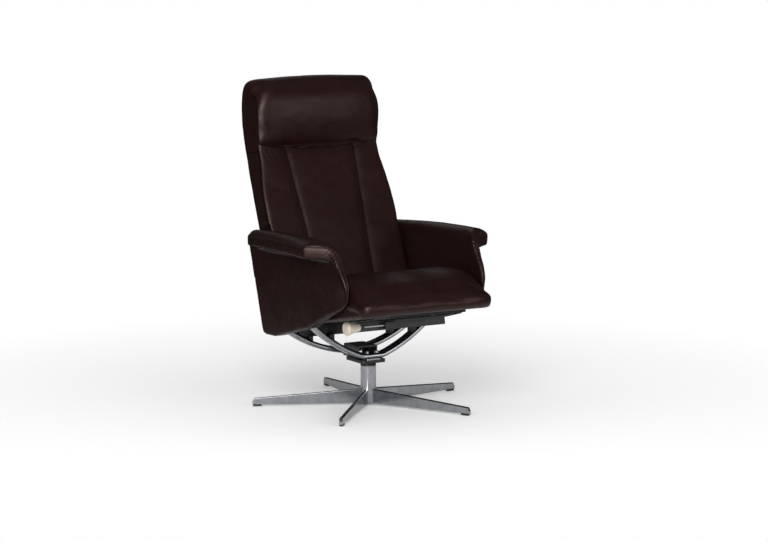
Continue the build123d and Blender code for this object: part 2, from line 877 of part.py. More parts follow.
def front_at(radius, z):
    """Point of the back's front face at a height; the face is tangent to the roll."""
    start = roll_point(radius, 180 - back_lean)
    return (start[0] + (z - start[1]) * lean_sin / lean_cos, z)


def seam_at(x):
    """Height of the seam under the head section, lowest in the middle."""
    return seam_height - seam_sag * (1 - (x / back_half_width) ** 2)


def seam_side(reach):
    """Everything above (positive reach) or below the arched seam, to cut a piece along it."""
    with BuildPart() as region:
        with BuildSketch(Plane.XZ):
            with BuildLine():
                ThreePointArc(
                    (-back_half_width - 10, seam_height),
                    (0, seam_height - seam_sag),
                    (back_half_width + 10, seam_height),
                )
                Polyline(
                    (back_half_width + 10, seam_height),
                    (back_half_width + 10, seam_height + reach),
                    (-back_half_width - 10, seam_height + reach),
                    (-back_half_width - 10, seam_height),
                )
            make_face()
        extrude(amount=-2 * head_rear)
    return region


above_seam, below_seam = seam_side(60), seam_side(-60)

# The foot of the back is an exact roll about the hip axis, so that it turns freely in the seat.
with BuildPart() as roll_room:
    with BuildSketch(Plane.YZ.offset(-back_half_width - 10)):
        with BuildLine():
            Polyline(
                (hip_y, hip_z),
                roll_point(3 * roll_radius, 180 - back_lean),
                roll_point(3 * roll_radius, 225),
                roll_point(3 * roll_radius, 270),
                roll_point(3 * roll_radius, 315),
                roll_point(3 * roll_radius, 360 - back_rear_lean),
                close=True,
            )
        make_face()
        with Locations((hip_y, hip_z)):
            Circle(roll_radius, mode=Mode.SUBTRACT)
    extrude(amount=2 * back_half_width + 20)


def cushion_section(x, drop):
    """Side profile of the back cushion: round roll, straight front, softly turned-in upper edge."""
    radius = roll_radius - drop
    seam = seam_at(x) + seam_spare
    front_foot, front_end = roll_point(radius, 180 - back_lean), front_at(radius, seam - 26)
    edge = (front_at(radius, seam)[0] + 12, seam)
    shoulder = (front_at(radius, seam - 8)[0] + 3.5, seam - 8)
    foot = back_rear(split_depth, -sqrt(radius**2 - split_depth**2))
    with BuildSketch(Plane.YZ.offset(x)) as section:
        with BuildLine():
            Line(front_foot, front_end)
            ThreePointArc(front_end, shoulder, edge)
            Polyline(edge, rear_at(split_depth, seam), foot)
            ThreePointArc(foot, roll_point(radius, 225 - back_lean / 2), front_foot)
        make_face()
    return section


edge_drops = ((0, 24), (8, 12), (30, 3), (62, 0), (100, 0), (150, 0))
back_stations = [(back_half_width - inset, drop) for inset, drop in edge_drops] + [(0.0, 0)]
channel_lean = degrees(atan2(channel_top_x - channel_foot_x, (seam_height - channel_foot_z) / lean_cos))


def channel_plane(side):
    """Plane across a channel at its foot on the back's front face; sketch y points out of the face."""
    foot = front_at(roll_radius, channel_foot_z)
    turn = radians(side * channel_lean)
    along = (sin(turn), cos(turn) * lean_sin, cos(turn) * lean_cos)
    across = (-cos(turn), sin(turn) * lean_sin, sin(turn) * lean_cos)
    return Plane(origin=(side * channel_foot_x, foot[0], foot[1]), x_dir=across, z_dir=along)


lug_angle, lug_swing = 270 - back_rear_lean, 17.0


def hinge_space(side):
    """Room inside the back for the hinge plate, and for the lug to swing in as the back reclines."""
    start, length = span(side, pin_inner - 1, pin_outer + 1)
    with BuildPart() as space:
        with BuildSketch(Plane.YZ.offset(start)):
            with Locations((hip_y, hip_z)):
                Circle(lug_radius + lug_room)
            with BuildLine():
                Polyline(
                    back_rear(-14, 0),
                    back_rear(-14, hinge_plate_length + 3),
                    back_rear(split_depth - back_shell_thickness, hinge_plate_length + 3),
                    back_rear(split_depth - back_shell_thickness, 0),
                    close=True,
                )
            make_face()
            with BuildLine():
                Polyline(
                    roll_point(lug_radius + 1, 180),
                    roll_point(2 * roll_radius, lug_angle - lug_swing),
                    roll_point(2 * roll_radius, lug_angle + lug_swing),
                    roll_point(2 * roll_radius, lug_angle + lug_swing + recline_limit),
                    roll_point(lug_radius + 1, 0),
                    close=True,
                )
            make_face()
        extrude(amount=length)
    return space


hinge_spaces = [hinge_space(side) for side in (RIGHT, LEFT)]

back_shell_width = 2 * (hinge_x + back_shell_overhang)
with BuildPart() as back_shell:
    with BuildSketch(Plane.YZ.offset(-back_shell_width / 2)):
        with BuildLine():
            front, rear = split_depth - back_shell_thickness, split_depth
            Polyline(
                back_rear(front, back_shell_foot),
                back_rear(rear, back_shell_foot),
                back_rear(rear, back_shell_head),
                back_rear(front, back_shell_head),
                close=True,
            )
        make_face()
    extrude(amount=back_shell_width)
    short_edges = back_shell.edges().filter_by(lambda edge: edge.length < back_shell_thickness + 1)
    fillet(short_edges, back_shell_corner)

with BuildPart() as back_cushion:
    for x, drop in mirrored(back_stations):
        add(cushion_section(x, drop).sketch)
    loft()
    for side in (RIGHT, LEFT):
        with BuildSketch(channel_plane(side)):
            with BuildLine():
                Polyline(
                    (-channel_width, 3),
                    (-2, 3 - channel_depth),
                    (2, 3 - channel_depth),
                    (channel_width, 3),
                    close=True,
                )
            make_face()
        extrude(amount=seam_height - channel_foot_z + 60, mode=Mode.SUBTRACT)
    for cut in (above_seam, roll_room, back_shell):
        add(cut.part, mode=Mode.SUBTRACT)
    for space in hinge_spaces:
        add(space.part, mode=Mode.SUBTRACT)


def cover_section(x, drop):
    """Side profile of the rear cover, from the parting line to the outer rear face."""
    radius = roll_radius - drop
    seam = seam_at(x) + seam_spare
    foot = back_rear(split_depth, -sqrt(radius**2 - split_depth**2))
    turn = back_rear(radius * 0.76, -radius * 0.65)
    edge_foot, edge = rear_at(radius, seam - 20), rear_at(radius - 6, seam)
    with BuildSketch(Plane.YZ.offset(x)) as section:
        with BuildLine():
            Line(rear_at(split_depth, seam), foot)
            ThreePointArc(foot, turn, back_rear(radius, 0))
            Line(back_rear(radius, 0), edge_foot)
            ThreePointArc(edge_foot, rear_at(radius - 1.5, seam - 8), edge)
            Line(edge, rear_at(split_depth, seam))
        make_face()
    return section


cover_drops = ((0, 14), (8, 6), (26, 1), (60, 0), (100, 0), (150, 0))
cover_stations = [(back_half_width - inset, drop) for inset, drop in cover_drops] + [(0.0, 0)]
with BuildPart() as back_cover:
    for x, drop in mirrored(cover_stations):
        add(cover_section(x, drop).sketch)
    loft()
    for cut in (above_seam, roll_room, *hinge_spaces):
        add(cut.part, mode=Mode.SUBTRACT)


def head_section(x, drop):
    """Side profile of the head section, a full pillow over the top of the back."""
    seam = seam_at(x) - seam_spare
    front_edge = front_at(roll_radius, seam)
    front_edge = (front_edge[0] + 12 + drop, seam)
    rear_edge = rear_at(roll_radius - 6, seam)
    rear_edge = (rear_edge[0] - drop * 0.4, seam)
    front, rear, top = head_front + drop, head_rear - drop * 0.5, seam_height + head_height - drop
    crown = ((front + rear) / 2, top)
    with BuildSketch(Plane.YZ.offset(x)) as section:
        with BuildLine():
            Spline(
                front_edge,
                (front + 8, seam + 0.17 * head_height),
                (front, seam + 0.49 * head_height),
                (front + 9, top - 0.24 * head_height),
                (front + 30, top - 0.065 * head_height),
                crown,
                tangents=((-0.8, 0.6), (1, 0)),
            )
            Spline(
                crown,
                (rear - 8, top - 0.24 * head_height),
                (rear, seam + 0.56 * head_height),
                rear_edge,
                tangents=((1, 0), (-rear_sin, -rear_cos)),
            )
            Line(rear_edge, front_edge)
        make_face()
    return section


head_drops = ((0, 36), (8, 18), (30, 5), (62, 0), (100, -1), (150, -2))
head_stations = [(head_half_width - inset, drop) for inset, drop in head_drops] + [(0.0, -2)]
with BuildPart() as headrest:
    for x, drop in mirrored(head_stations):
        add(head_section(x, drop).sketch)
    loft()
    for cut in (below_seam, back_shell):
        add(cut.part, mode=Mode.SUBTRACT)


def hinge_plate(side):
    """Steel plate on the back shell that carries the hip pin's inner end."""
    start, length = span(side, hinge_x - hinge_gap / 2 - hinge_plate_thickness, hinge_x - hinge_gap / 2)
    front = split_depth - back_shell_thickness
    with BuildPart() as plate:
        with BuildSketch(Plane.YZ.offset(start)):
            with BuildLine():
                Polyline(
                    back_rear(-12, 0),
                    back_rear(-6, hinge_plate_length),
                    back_rear(front, hinge_plate_length),
                    back_rear(front, 0),
                    close=True,
                )
            make_face()
            with Locations((hip_y, hip_z)):
                Circle(lug_radius)
            with BuildLine():
                Polyline(
                    back_rear(front, -lug_radius - 5),
                    back_rear(front, lug_radius - 5),
                    back_rear(front + lug_radius, lug_radius - 5),
                    back_rear(front + lug_radius, -lug_radius - 5),
                    close=True,
                )
            make_face(mode=Mode.SUBTRACT)
            with Locations((hip_y, hip_z)):
                Circle(pin_radius + running_clearance, mode=Mode.SUBTRACT)
        extrude(amount=length)
    return plate


hinge_plate_right, hinge_plate_left = hinge_plate(RIGHT), hinge_plate(LEFT)


pieces = {
    "base_column": base_column,
    "floor_glides": floor_glides,
    "column_collar": column_collar,
    "column_foot": column_foot,
    "thrust_washer": thrust_washer,
    "lower_bush": lower_bush,
    "upper_bush": upper_bush,
    "swivel_spindle": swivel_spindle,
    "swivel_plate": swivel_plate,
    "front_spacer": front_spacer,
    "mechanism_housing": mechanism_housing,
    "housing_cover": housing_cover,
    "cradle_bar_front": cradle_bar_front,
    "cradle_bar_rear": cradle_bar_rear,
    "clamp_bolts": clamp_bolts,
    "clamp_nuts": clamp_nuts,
    "guide_rail_right": guide_rail_right,
    "guide_rail_left": guide_rail_left,
    "cross_rail_front": cross_rail_front,
    "cross_rail_rear": cross_rail_rear,
    "rail_saddles": rail_saddles,
    "arm_bracket_right": arm_bracket_right,
    "arm_bracket_left": arm_bracket_left,
    "arm_board_right": arm_board_right,
    "arm_board_left": arm_board_left,
    "bracket_bolts": bracket_bolts,
    "arm_right": arm_right,
    "arm_left": arm_left,
    "tension_knob": tension_knob,
    "knob_rod": knob_rod,
    "rod_guide": rod_guide,
    "tension_block": tension_block,
    "seat_board": seat_board,
    "seat_runner_right": seat_runner_right,
    "seat_runner_left": seat_runner_left,
    "glide_shoes": glide_shoes,
    "hinge_lug_right": hinge_lug_right,
    "hinge_lug_left": hinge_lug_left,
    "hip_pins": hip_pins,
    "seat_cushion": seat_cushion,
    "back_shell": back_shell,
    "back_cushion": back_cushion,
    "back_cover": back_cover,
    "headrest": headrest,
    "hinge_plate_right": hinge_plate_right,
    "hinge_plate_left": hinge_plate_left,
}
pieces.update({f"base_leg_{index + 1}": leg for index, leg in enumerate(legs)})

for name, piece in pieces.items():
    piece.part.label = name
    export_step(piece.part, f"parts/{name}.step")
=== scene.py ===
import json
import math

import bmesh
import bpy
import numpy as np
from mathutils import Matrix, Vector, noise


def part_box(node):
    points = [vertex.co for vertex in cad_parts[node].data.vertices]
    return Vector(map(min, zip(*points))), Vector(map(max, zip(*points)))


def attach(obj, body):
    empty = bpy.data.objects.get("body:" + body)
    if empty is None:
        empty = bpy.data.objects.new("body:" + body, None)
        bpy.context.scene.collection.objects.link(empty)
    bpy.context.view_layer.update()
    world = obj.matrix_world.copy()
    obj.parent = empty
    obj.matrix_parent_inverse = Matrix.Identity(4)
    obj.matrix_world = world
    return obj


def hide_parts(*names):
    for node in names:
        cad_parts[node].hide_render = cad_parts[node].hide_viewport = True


# Metres. The chair stands on z = 0, swivels about the Z axis and faces -Y; its left side is at +X.
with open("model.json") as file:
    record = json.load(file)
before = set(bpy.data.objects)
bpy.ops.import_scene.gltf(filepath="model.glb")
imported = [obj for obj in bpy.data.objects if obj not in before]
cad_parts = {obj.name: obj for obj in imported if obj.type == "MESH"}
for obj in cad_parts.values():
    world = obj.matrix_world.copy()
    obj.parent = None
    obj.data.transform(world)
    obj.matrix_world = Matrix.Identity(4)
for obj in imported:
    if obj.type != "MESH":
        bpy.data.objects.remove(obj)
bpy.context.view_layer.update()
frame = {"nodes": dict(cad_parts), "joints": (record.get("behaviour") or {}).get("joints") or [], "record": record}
nodes = frame["nodes"]
joints = {joint["name"]: joint for joint in frame["joints"]}
scene = bpy.context.scene

RIGHT, LEFT = -1, 1
SIDES = (RIGHT, LEFT)
TINY = 1e-9  # keeps a length that is divided by away from zero

# ---------------------------------------------------------------- places read from the frame
hip = Vector(joints["recline"]["pos_m"])
hip_spot = np.array([hip.y, hip.z])
back_half_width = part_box("back_cushion")[1].x


# ================================================================ materials
NOISE_SPAN = (0.3, 0.7)  # nearly all values of a noise texture lie in here


def new_material(name):
    """An empty node material with its Principled shader."""
    material = bpy.data.materials.new(name)
    material.use_nodes = True
    tree = material.node_tree
    return material, tree, tree.nodes["Principled BSDF"]


def node(tree, kind, **settings):
    made = tree.nodes.new(kind)
    for key, value in settings.items():
        setattr(made, key, value)
    return made


def position(tree):
    """The surface's position in its object's own space, in metres."""
    return node(tree, "ShaderNodeTexCoord").outputs["Object"]


def stretched(tree, scale):
    """The position with a scale for each axis; a texture runs long where the scale is small."""
    made = node(tree, "ShaderNodeMapping")
    made.inputs["Scale"].default_value = scale
    tree.links.new(position(tree), made.inputs["Vector"])
    return made.outputs["Vector"]


def noise_texture(tree, scale, detail, rough, vector=None):
    made = node(tree, "ShaderNodeTexNoise")
    made.inputs["Scale"].default_value = scale
    made.inputs["Detail"].default_value = detail
    made.inputs["Roughness"].default_value = rough
    tree.links.new(vector or position(tree), made.inputs["Vector"])
    return made.outputs["Fac"]


def pebbles(tree, scale):
    """Distance to the middle of the nearest cell, rounded where cells meet."""
    made = node(tree, "ShaderNodeTexVoronoi", feature="SMOOTH_F1")
    made.inputs["Scale"].default_value = scale
    tree.links.new(position(tree), made.inputs["Vector"])
    return made.outputs["Distance"]


def remap(tree, value, span, new_span):
    """Spreads a value from one span of numbers over another, and keeps it inside that."""
    made = node(tree, "ShaderNodeMapRange")
    for key, number in zip(("From Min", "From Max", "To Min", "To Max"), (*span, *new_span)):
        made.inputs[key].default_value = number
    tree.links.new(value, made.inputs["Value"])
    return made.outputs["Result"]


def mixed(tree, factor, low, high):
    """A number that goes from low to high with the factor; each may be a socket or a value."""
    made = node(tree, "ShaderNodeMix", data_type="FLOAT")
    tree.links.new(factor, made.inputs["Factor"])
    for key, part in (("A", low), ("B", high)):
        if isinstance(part, (int, float)):
            made.inputs[key].default_value = part
        else:
            tree.links.new(part, made.inputs[key])
    return made.outputs["Result"]


def two_colours(tree, factor, first, second):
    """A colour that goes from first to second with the factor."""
    made = node(tree, "ShaderNodeMix", data_type="RGBA")
    tree.links.new(factor, made.inputs["Factor"])
    made.inputs["A"].default_value = (*first, 1)
    made.inputs["B"].default_value = (*second, 1)
    return made.outputs["Result"]


def bump(tree, height, strength, distance, before=None):
    """A normal tilted by a height; before is a normal that already carries coarser forms."""
    made = node(tree, "ShaderNodeBump")
    made.inputs["Strength"].default_value = strength
    made.inputs["Distance"].default_value = distance
    tree.links.new(height, made.inputs["Height"])
    if before is not None:
        tree.links.new(before, made.inputs["Normal"])
    return made.outputs["Normal"]


def leather(name, dark, light, rough_span):
    """Smooth upholstery leather: pebbled grain, soft creases, faint mottling."""
    material, tree, shader = new_material(name)
    mottle = noise_texture(tree, scale=9, detail=5, rough=0.6)
    colour = two_colours(tree, remap(tree, mottle, NOISE_SPAN, (0, 1)), dark, light)
    tree.links.new(colour, shader.inputs["Base Color"])
    wear = noise_texture(tree, scale=34, detail=4, rough=0.6)
    tree.links.new(remap(tree, wear, NOISE_SPAN, rough_span), shader.inputs["Roughness"])
    grain = pebbles(tree, scale=520)
    pores = noise_texture(tree, scale=900, detail=3, rough=0.6)
    folds = noise_texture(tree, scale=55, detail=5, rough=0.5)
    normal = bump(tree, folds, strength=0.10, distance=0.006)
    normal = bump(tree, grain, strength=0.22, distance=0.0009, before=normal)
    normal = bump(tree, pores, strength=0.12, distance=0.0004, before=normal)
    tree.links.new(normal, shader.inputs["Normal"])
    shader.inputs["Specular IOR Level"].default_value = 0.28
    shader.inputs["Specular Tint"].default_value = (1.0, 0.76, 0.72, 1)
    return material


def chrome(name, dark, light):
    """Polished chrome with faint buffing haze and hairline scratches."""
    haze_span, rough_span = (0.36, 0.64), (0.06, 0.13)
    material, tree, shader = new_material(name)
    shader.inputs["Metallic"].default_value = 1.0
    haze = noise_texture(tree, scale=46, detail=6, rough=0.7)
    colour = two_colours(tree, remap(tree, haze, haze_span, (0, 1)), dark, light)
    tree.links.new(colour, shader.inputs["Base Color"])
    fine = noise_texture(tree, scale=160, detail=5, rough=0.6)
    tree.links.new(remap(tree, fine, NOISE_SPAN, rough_span), shader.inputs["Roughness"])
    across = stretched(tree, (30, 30, 700))
    lines = noise_texture(tree, scale=1.0, detail=2, rough=0.5, vector=across)
    tree.links.new(bump(tree, lines, strength=0.03, distance=0.0002), shader.inputs["Normal"])
    return material


def painted(name, dark, light, rough):
    """An even dull colour with a fine orange-peel skin: powder-coated steel, or thread, which may be made
    near-black to paint the shade of its seam.
    """
    rough_span = (rough - 0.06, rough + 0.06)
    material, tree, shader = new_material(name)
    patch = noise_texture(tree, scale=22, detail=3, rough=0.5)
    colour = two_colours(tree, remap(tree, patch, NOISE_SPAN, (0, 1)), dark, light)
    tree.links.new(colour, shader.inputs["Base Color"])
    fine = noise_texture(tree, scale=90, detail=3, rough=0.5)
    tree.links.new(remap(tree, fine, NOISE_SPAN, rough_span), shader.inputs["Roughness"])
    peel = noise_texture(tree, scale=650, detail=2, rough=0.5)
    tree.links.new(bump(tree, peel, strength=0.12, distance=0.0004), shader.inputs["Normal"])
    return material


def plated(name, dark, light, rough_span):
    """Zinc-plated steel, brushed along X."""
    material, tree, shader = new_material(name)
    shader.inputs["Metallic"].default_value = 1.0
    along = stretched(tree, (40, 900, 900))
    lines = noise_texture(tree, scale=1.0, detail=3, rough=0.6, vector=along)
    tree.links.new(two_colours(tree, lines, dark, light), shader.inputs["Base Color"])
    tree.links.new(remap(tree, lines, NOISE_SPAN, rough_span), shader.inputs["Roughness"])
    tree.links.new(bump(tree, lines, strength=0.10, distance=0.0002), shader.inputs["Normal"])
    return material


def plastic(name, colour, rough):
    """Moulded plastic with a fine eroded texture."""
    lighter = tuple(min(1.0, part * 1.25 + 0.004) for part in colour)
    rough_span = (rough - 0.05, rough + 0.08)
    material, tree, shader = new_material(name)
    patch = noise_texture(tree, scale=40, detail=3, rough=0.5)
    tree.links.new(two_colours(tree, patch, colour, lighter), shader.inputs["Base Color"])
    fine = noise_texture(tree, scale=800, detail=3, rough=0.6)
    tree.links.new(remap(tree, fine, NOISE_SPAN, rough_span), shader.inputs["Roughness"])
    tree.links.new(bump(tree, fine, strength=0.18, distance=0.0004), shader.inputs["Normal"])
    return material


def wood(name, dark, light, scale, ring_scale, rough):
    """Lacquered timber with growth rings, fibres and short pores along the grain."""
    rough_span = (rough - 0.05, rough + 0.08)
    ring_share, fibre_share = 0.45, 0.55
    material, tree, shader = new_material(name)
    along = stretched(tree, scale)
    rings = node(tree, "ShaderNodeTexWave", wave_type="BANDS", bands_direction="Y")
    rings.inputs["Scale"].default_value = ring_scale
    rings.inputs["Distortion"].default_value = 3.5
    rings.inputs["Detail"].default_value = 3.0
    tree.links.new(along, rings.inputs["Vector"])
    fibres = noise_texture(tree, scale=260, detail=4, rough=0.65, vector=along)
    both = node(tree, "ShaderNodeMath", operation="MULTIPLY_ADD")
    tree.links.new(rings.outputs["Fac"], both.inputs[0])
    both.inputs[1].default_value = ring_share
    tree.links.new(remap(tree, fibres, NOISE_SPAN, (0, fibre_share)), both.inputs[2])
    tree.links.new(two_colours(tree, both.outputs[0], light, dark), shader.inputs["Base Color"])
    tree.links.new(remap(tree, fibres, NOISE_SPAN, rough_span), shader.inputs["Roughness"])
    tree.links.new(bump(tree, fibres, strength=0.10, distance=0.0004), shader.inputs["Normal"])
    return material


LEATHER = leather(
    "dark_brown_leather", (0.0130, 0.0040, 0.0035), (0.0172, 0.0058, 0.0050),
    rough_span=(0.31, 0.43),
)
# Near-black thread: partly the thread's own colour, partly painted shade that stands in for the dark groove of
# each seam.
THREAD_WITH_PAINTED_SHADE = painted("thread_painted_seam_shade", (0.0012, 0.0007, 0.0007), (0.0022, 0.0012, 0.0011), rough=0.85)
THREAD_WITH_PAINTED_SHADE.node_tree.nodes["Principled BSDF"].inputs["Specular IOR Level"].default_value = 0.03
FINISHES = {
    "polished_chrome": chrome("polished_chrome", (0.31, 0.32, 0.34), (0.42, 0.43, 0.45)),
    "black_plastic": plastic("black_plastic", (0.012, 0.012, 0.013), rough=0.42),
    "bearing_plastic": plastic("bearing_plastic", (0.55, 0.54, 0.50), rough=0.40),
    "black_steel": painted("black_steel", (0.010, 0.010, 0.011), (0.018, 0.018, 0.019), rough=0.38),
    "grey_steel": painted("grey_steel", (0.050, 0.050, 0.053), (0.085, 0.085, 0.090), rough=0.36),
    "bright_steel": plated(
        "bright_steel", (0.42, 0.42, 0.43), (0.66, 0.66, 0.66), rough_span=(0.24, 0.36)
    ),
    "pale_wood": wood(
        "pale_wood", (0.64, 0.54, 0.40), (0.84, 0.77, 0.66),
        scale=(1, 6, 6), ring_scale=3.0, rough=0.36,
    ),
    "plywood": wood(
        "plywood", (0.34, 0.22, 0.12), (0.55, 0.41, 0.26),
        scale=(4, 1, 4), ring_scale=6.0, rough=0.55,
    ),
    "black_board": wood(
        "black_board", (0.004, 0.004, 0.004), (0.010, 0.009, 0.009),
        scale=(4, 1, 4), ring_scale=6.0, rough=0.60,
    ),
    "dark_leather": LEATHER,
}
slot_of = {entry["node"]: entry["material_slot"] for entry in frame["record"]["subparts"]}
for name, obj in nodes.items():
    obj.data.materials.clear()
    obj.data.materials.append(FINISHES[slot_of[name]])


# ================================================================ camera, light and floor
CAMERA_PLACE = (-4.271, -7.208, 1.626)
CAMERA_ELEVATION, CAMERA_AZIMUTH = 8.04, -31  # degrees
CAMERA_LENS, SENSOR_WIDTH = 121.875, 36  # mm
CAMERA_REACH = 100

WORLD_LIGHT = 0.54  # what the world sends onto dull surfaces
# Shiny surfaces see a dim room instead: it is darkest low down, and noise breaks it up.
ROOM_HEIGHTS, ROOM_BY_HEIGHT = (-0.05, 0.9), (0.15, 1.0)
ROOM_PATCH_SCALE, ROOM_PATCH_SPAN, ROOM_PATCHES = 2.6, (0.42, 0.58), (0.01, 0.27)

FLOOR_RADIUS = 6
FLOOR_COLOUR = (0.96, 0.96, 0.96, 1)
FLOOR_GLOW = 0.17  # only for the camera, so that the floor looks white without more light
FLOOR_FADE = (0.6, 1.9)  # distances from the swivel axis between which the floor fades out
WHITE = (1, 1, 1, 1)


def make_camera():
    camera = bpy.data.objects.new("camera", bpy.data.cameras.new("camera"))
    scene.collection.objects.link(camera)
    camera.location = CAMERA_PLACE
    camera.rotation_euler = (math.radians(90 - CAMERA_ELEVATION), 0, math.radians(CAMERA_AZIMUTH))
    camera.data.sensor_width = SENSOR_WIDTH
    camera.data.lens = CAMERA_LENS
    camera.data.clip_end = CAMERA_REACH
    scene.camera = camera


def softbox(name, place, aim, size, power, shine_only=False):
    """A rectangular lamp, which may give reflections only; power in watts."""
    lamp = bpy.data.lights.new(name, "AREA")
    lamp.shape, lamp.energy = "RECTANGLE", power
    lamp.size, lamp.size_y = size
    box = bpy.data.objects.new(name, lamp)
    scene.collection.objects.link(box)
    box.location = place
    box.rotation_euler = (Vector(aim) - Vector(place)).to_track_quat("-Z", "Y").to_euler()
    box.visible_diffuse = not shine_only


def make_world():
    """White to the camera and through clear things, a plain level of light for all else."""
    world = bpy.data.worlds.new("studio")
    scene.world = world
    world.use_nodes = True
    tree = world.node_tree
    background = tree.nodes["Background"]
    background.inputs["Color"].default_value = WHITE
    path = node(tree, "ShaderNodeLightPath")
    seen = node(tree, "ShaderNodeMath", operation="MAXIMUM")
    tree.links.new(path.outputs["Is Camera Ray"], seen.inputs[0])
    tree.links.new(path.outputs["Is Transmission Ray"], seen.inputs[1])
    sky = node(tree, "ShaderNodeTexCoord").outputs["Generated"]
    direction = node(tree, "ShaderNodeSeparateXYZ")
    tree.links.new(sky, direction.inputs[0])
    by_height = remap(tree, direction.outputs["Z"], ROOM_HEIGHTS, ROOM_BY_HEIGHT)
    patches = noise_texture(tree, scale=ROOM_PATCH_SCALE, detail=1.0, rough=0.4, vector=sky)
    patches = remap(tree, patches, ROOM_PATCH_SPAN, ROOM_PATCHES)
    room = node(tree, "ShaderNodeMath", operation="MULTIPLY")
    tree.links.new(by_height, room.inputs[0])
    tree.links.new(patches, room.inputs[1])
    lit = mixed(tree, path.outputs["Is Glossy Ray"], WORLD_LIGHT, room.outputs[0])
    strength = mixed(tree, seen.outputs[0], lit, 1.0)
    tree.links.new(strength, background.inputs["Strength"])


def make_floor():
    """A pale disc that takes the chair's shadow and fades into the white around it."""
    bpy.ops.mesh.primitive_circle_add(vertices=96, radius=FLOOR_RADIUS, fill_type="NGON")
    floor = bpy.context.object
    floor.name = "floor"
    material, tree, shader = new_material("pale_floor")
    shader.inputs["Base Color"].default_value = FLOOR_COLOUR
    shader.inputs["Roughness"].default_value = 0.75
    shader.inputs["Specular IOR Level"].default_value = 0.15
    shader.inputs["Emission Color"].default_value = WHITE
    looked_at = node(tree, "ShaderNodeLightPath").outputs["Is Camera Ray"]
    glow = remap(tree, looked_at, (0, 1), (0, FLOOR_GLOW))
    tree.links.new(glow, shader.inputs["Emission Strength"])
    distance = node(tree, "ShaderNodeVectorMath", operation="LENGTH")
    tree.links.new(position(tree), distance.inputs[0])
    clear = node(tree, "ShaderNodeBsdfTransparent")
    blend = node(tree, "ShaderNodeMixShader")
    fade = remap(tree, distance.outputs["Value"], FLOOR_FADE, (0, 1))
    tree.links.new(fade, blend.inputs["Fac"])
    tree.links.new(shader.outputs["BSDF"], blend.inputs[1])
    tree.links.new(clear.outputs["BSDF"], blend.inputs[2])
    tree.links.new(blend.outputs["Shader"], tree.nodes["Material Output"].inputs["Surface"])
    floor.data.materials.append(material)


make_camera()
softbox("key_softbox", place=(-2.7, -3.4, 3.0), aim=(0, 0, 0.5), size=(2.2, 2.0), power=118)
softbox("fill_softbox", place=(2.0, -5.0, 1.5), aim=(0, 0, 0.5), size=(3.2, 2.6), power=55)
softbox(
    "side_softbox", place=(-3.0, -3.0, 0.95), aim=(0, 0, 0.55), size=(2.0, 2.1), power=125,
    shine_only=True,
)
softbox("rear_softbox", place=(1.0, 3.6, 3.0), aim=(0, 0, 0.6), size=(2.6, 1.6), power=6)
make_world()
make_floor()
scene.view_settings.view_transform = "Standard"


# ================================================================ mesh tools for the upholstery
def mesh_piece(name, points, faces):
    mesh = bpy.data.meshes.new(name)
    mesh.from_pydata([tuple(p) for p in points], [], faces)
    mesh.validate()
    made = bpy.data.objects.new(name, mesh)
    scene.collection.objects.link(made)
    return made


def lofted(name, rings):
    """A closed skin through closed rings of equal length, with a flat face at each end."""
    count = len(rings[0])
    points = [p for ring in rings for p in ring]
    faces = [tuple(range(count - 1, -1, -1)), tuple(range(len(points) - count, len(points)))]
    for r in range(len(rings) - 1):
        here, there = r * count, (r + 1) * count
        for k in range(count):
            after = (k + 1) % count
            faces.append((here + k, here + after, there + after, there + k))
    made = mesh_piece(name, points, faces)
    shell = bmesh.new()
    shell.from_mesh(made.data)
    bmesh.ops.recalc_face_normals(shell, faces=shell.faces)
    shell.to_mesh(made.data)
    shell.free()
    return made


def copied(name, node_name):
    """A new object with the shape of a CAD node, to be worked into an upholstered piece."""
    made = bpy.data.objects.new(name, nodes[node_name].data.copy())
    scene.collection.objects.link(made)
    return made


def settle(obj):
    """Applies all modifiers of obj."""
    bpy.context.view_layer.update()
    evaluated = obj.evaluated_get(bpy.context.evaluated_depsgraph_get())
    mesh = bpy.data.meshes.new_from_object(evaluated)
    obj.modifiers.clear()
    old = obj.data
    obj.data = mesh
    bpy.data.meshes.remove(old)


def remeshed(obj, voxel):
    """Gives obj an even skin of small quads."""
    made = obj.modifiers.new("even", "REMESH")
    made.mode, made.voxel_size = "VOXEL", voxel
    settle(obj)


def relaxed(obj, steps):
    """Smooths the skin in a number of steps."""
    made = obj.modifiers.new("relax", "SMOOTH")
    made.iterations, made.factor = steps, 0.5
    settle(obj)


def divided(obj):
    """Divides each face of the skin in four, and shades it smooth."""
    made = obj.modifiers.new("finer", "SUBSURF")
    made.levels = made.render_levels = 1
    settle(obj)
    obj.data.polygons.foreach_set("use_smooth", [True] * len(obj.data.polygons))


def per_vertex(obj, attribute):
    flat = np.empty(len(obj.data.vertices) * 3, np.float64)
    obj.data.vertices.foreach_get(attribute, flat)
    return flat.reshape(-1, 3)


def coordinates(obj):
    return per_vertex(obj, "co")


def normals(obj):
    return per_vertex(obj, "normal")


def move_to(obj, points):
    obj.data.vertices.foreach_set("co", np.ascontiguousarray(points, np.float32).ravel())
    obj.data.update()


def ramp(value, start, end):
    """Smooth 0 to 1 as value goes from start to end; start may be the greater of the two."""
    share = np.clip((value - start) / (end - start), 0, 1)
    return share * share * (3 - 2 * share)


def ramp_at(value, start, end):
    """The same for a single number."""
    return float(ramp(np.float64(value), start, end))


def mix(low, high, share):
    return low + (high - low) * share


def distance_to(points, path):
    """Distance of each point to a polyline."""
    best = np.full(len(points), np.inf)
    for start, end in zip(path[:-1], path[1:]):
        start, run = np.array(start), np.array(end) - np.array(start)
        share = np.clip((points - start) @ run / (run @ run), 0, 1)
        best = np.minimum(best, np.linalg.norm(points - start - share[:, None] * run, axis=1))
    return best


def nearness(points, path, width):
    """1 on a polyline, falling smoothly to nothing over about twice the width."""
    return np.exp(-((distance_to(points, path) / width) ** 2))


def from_hip(points):
    """Offset of each point from the hip axis, as seen from the side, and its length."""
    offset = points[:, 1:] - hip_spot
    return offset, np.linalg.norm(offset, axis=1)


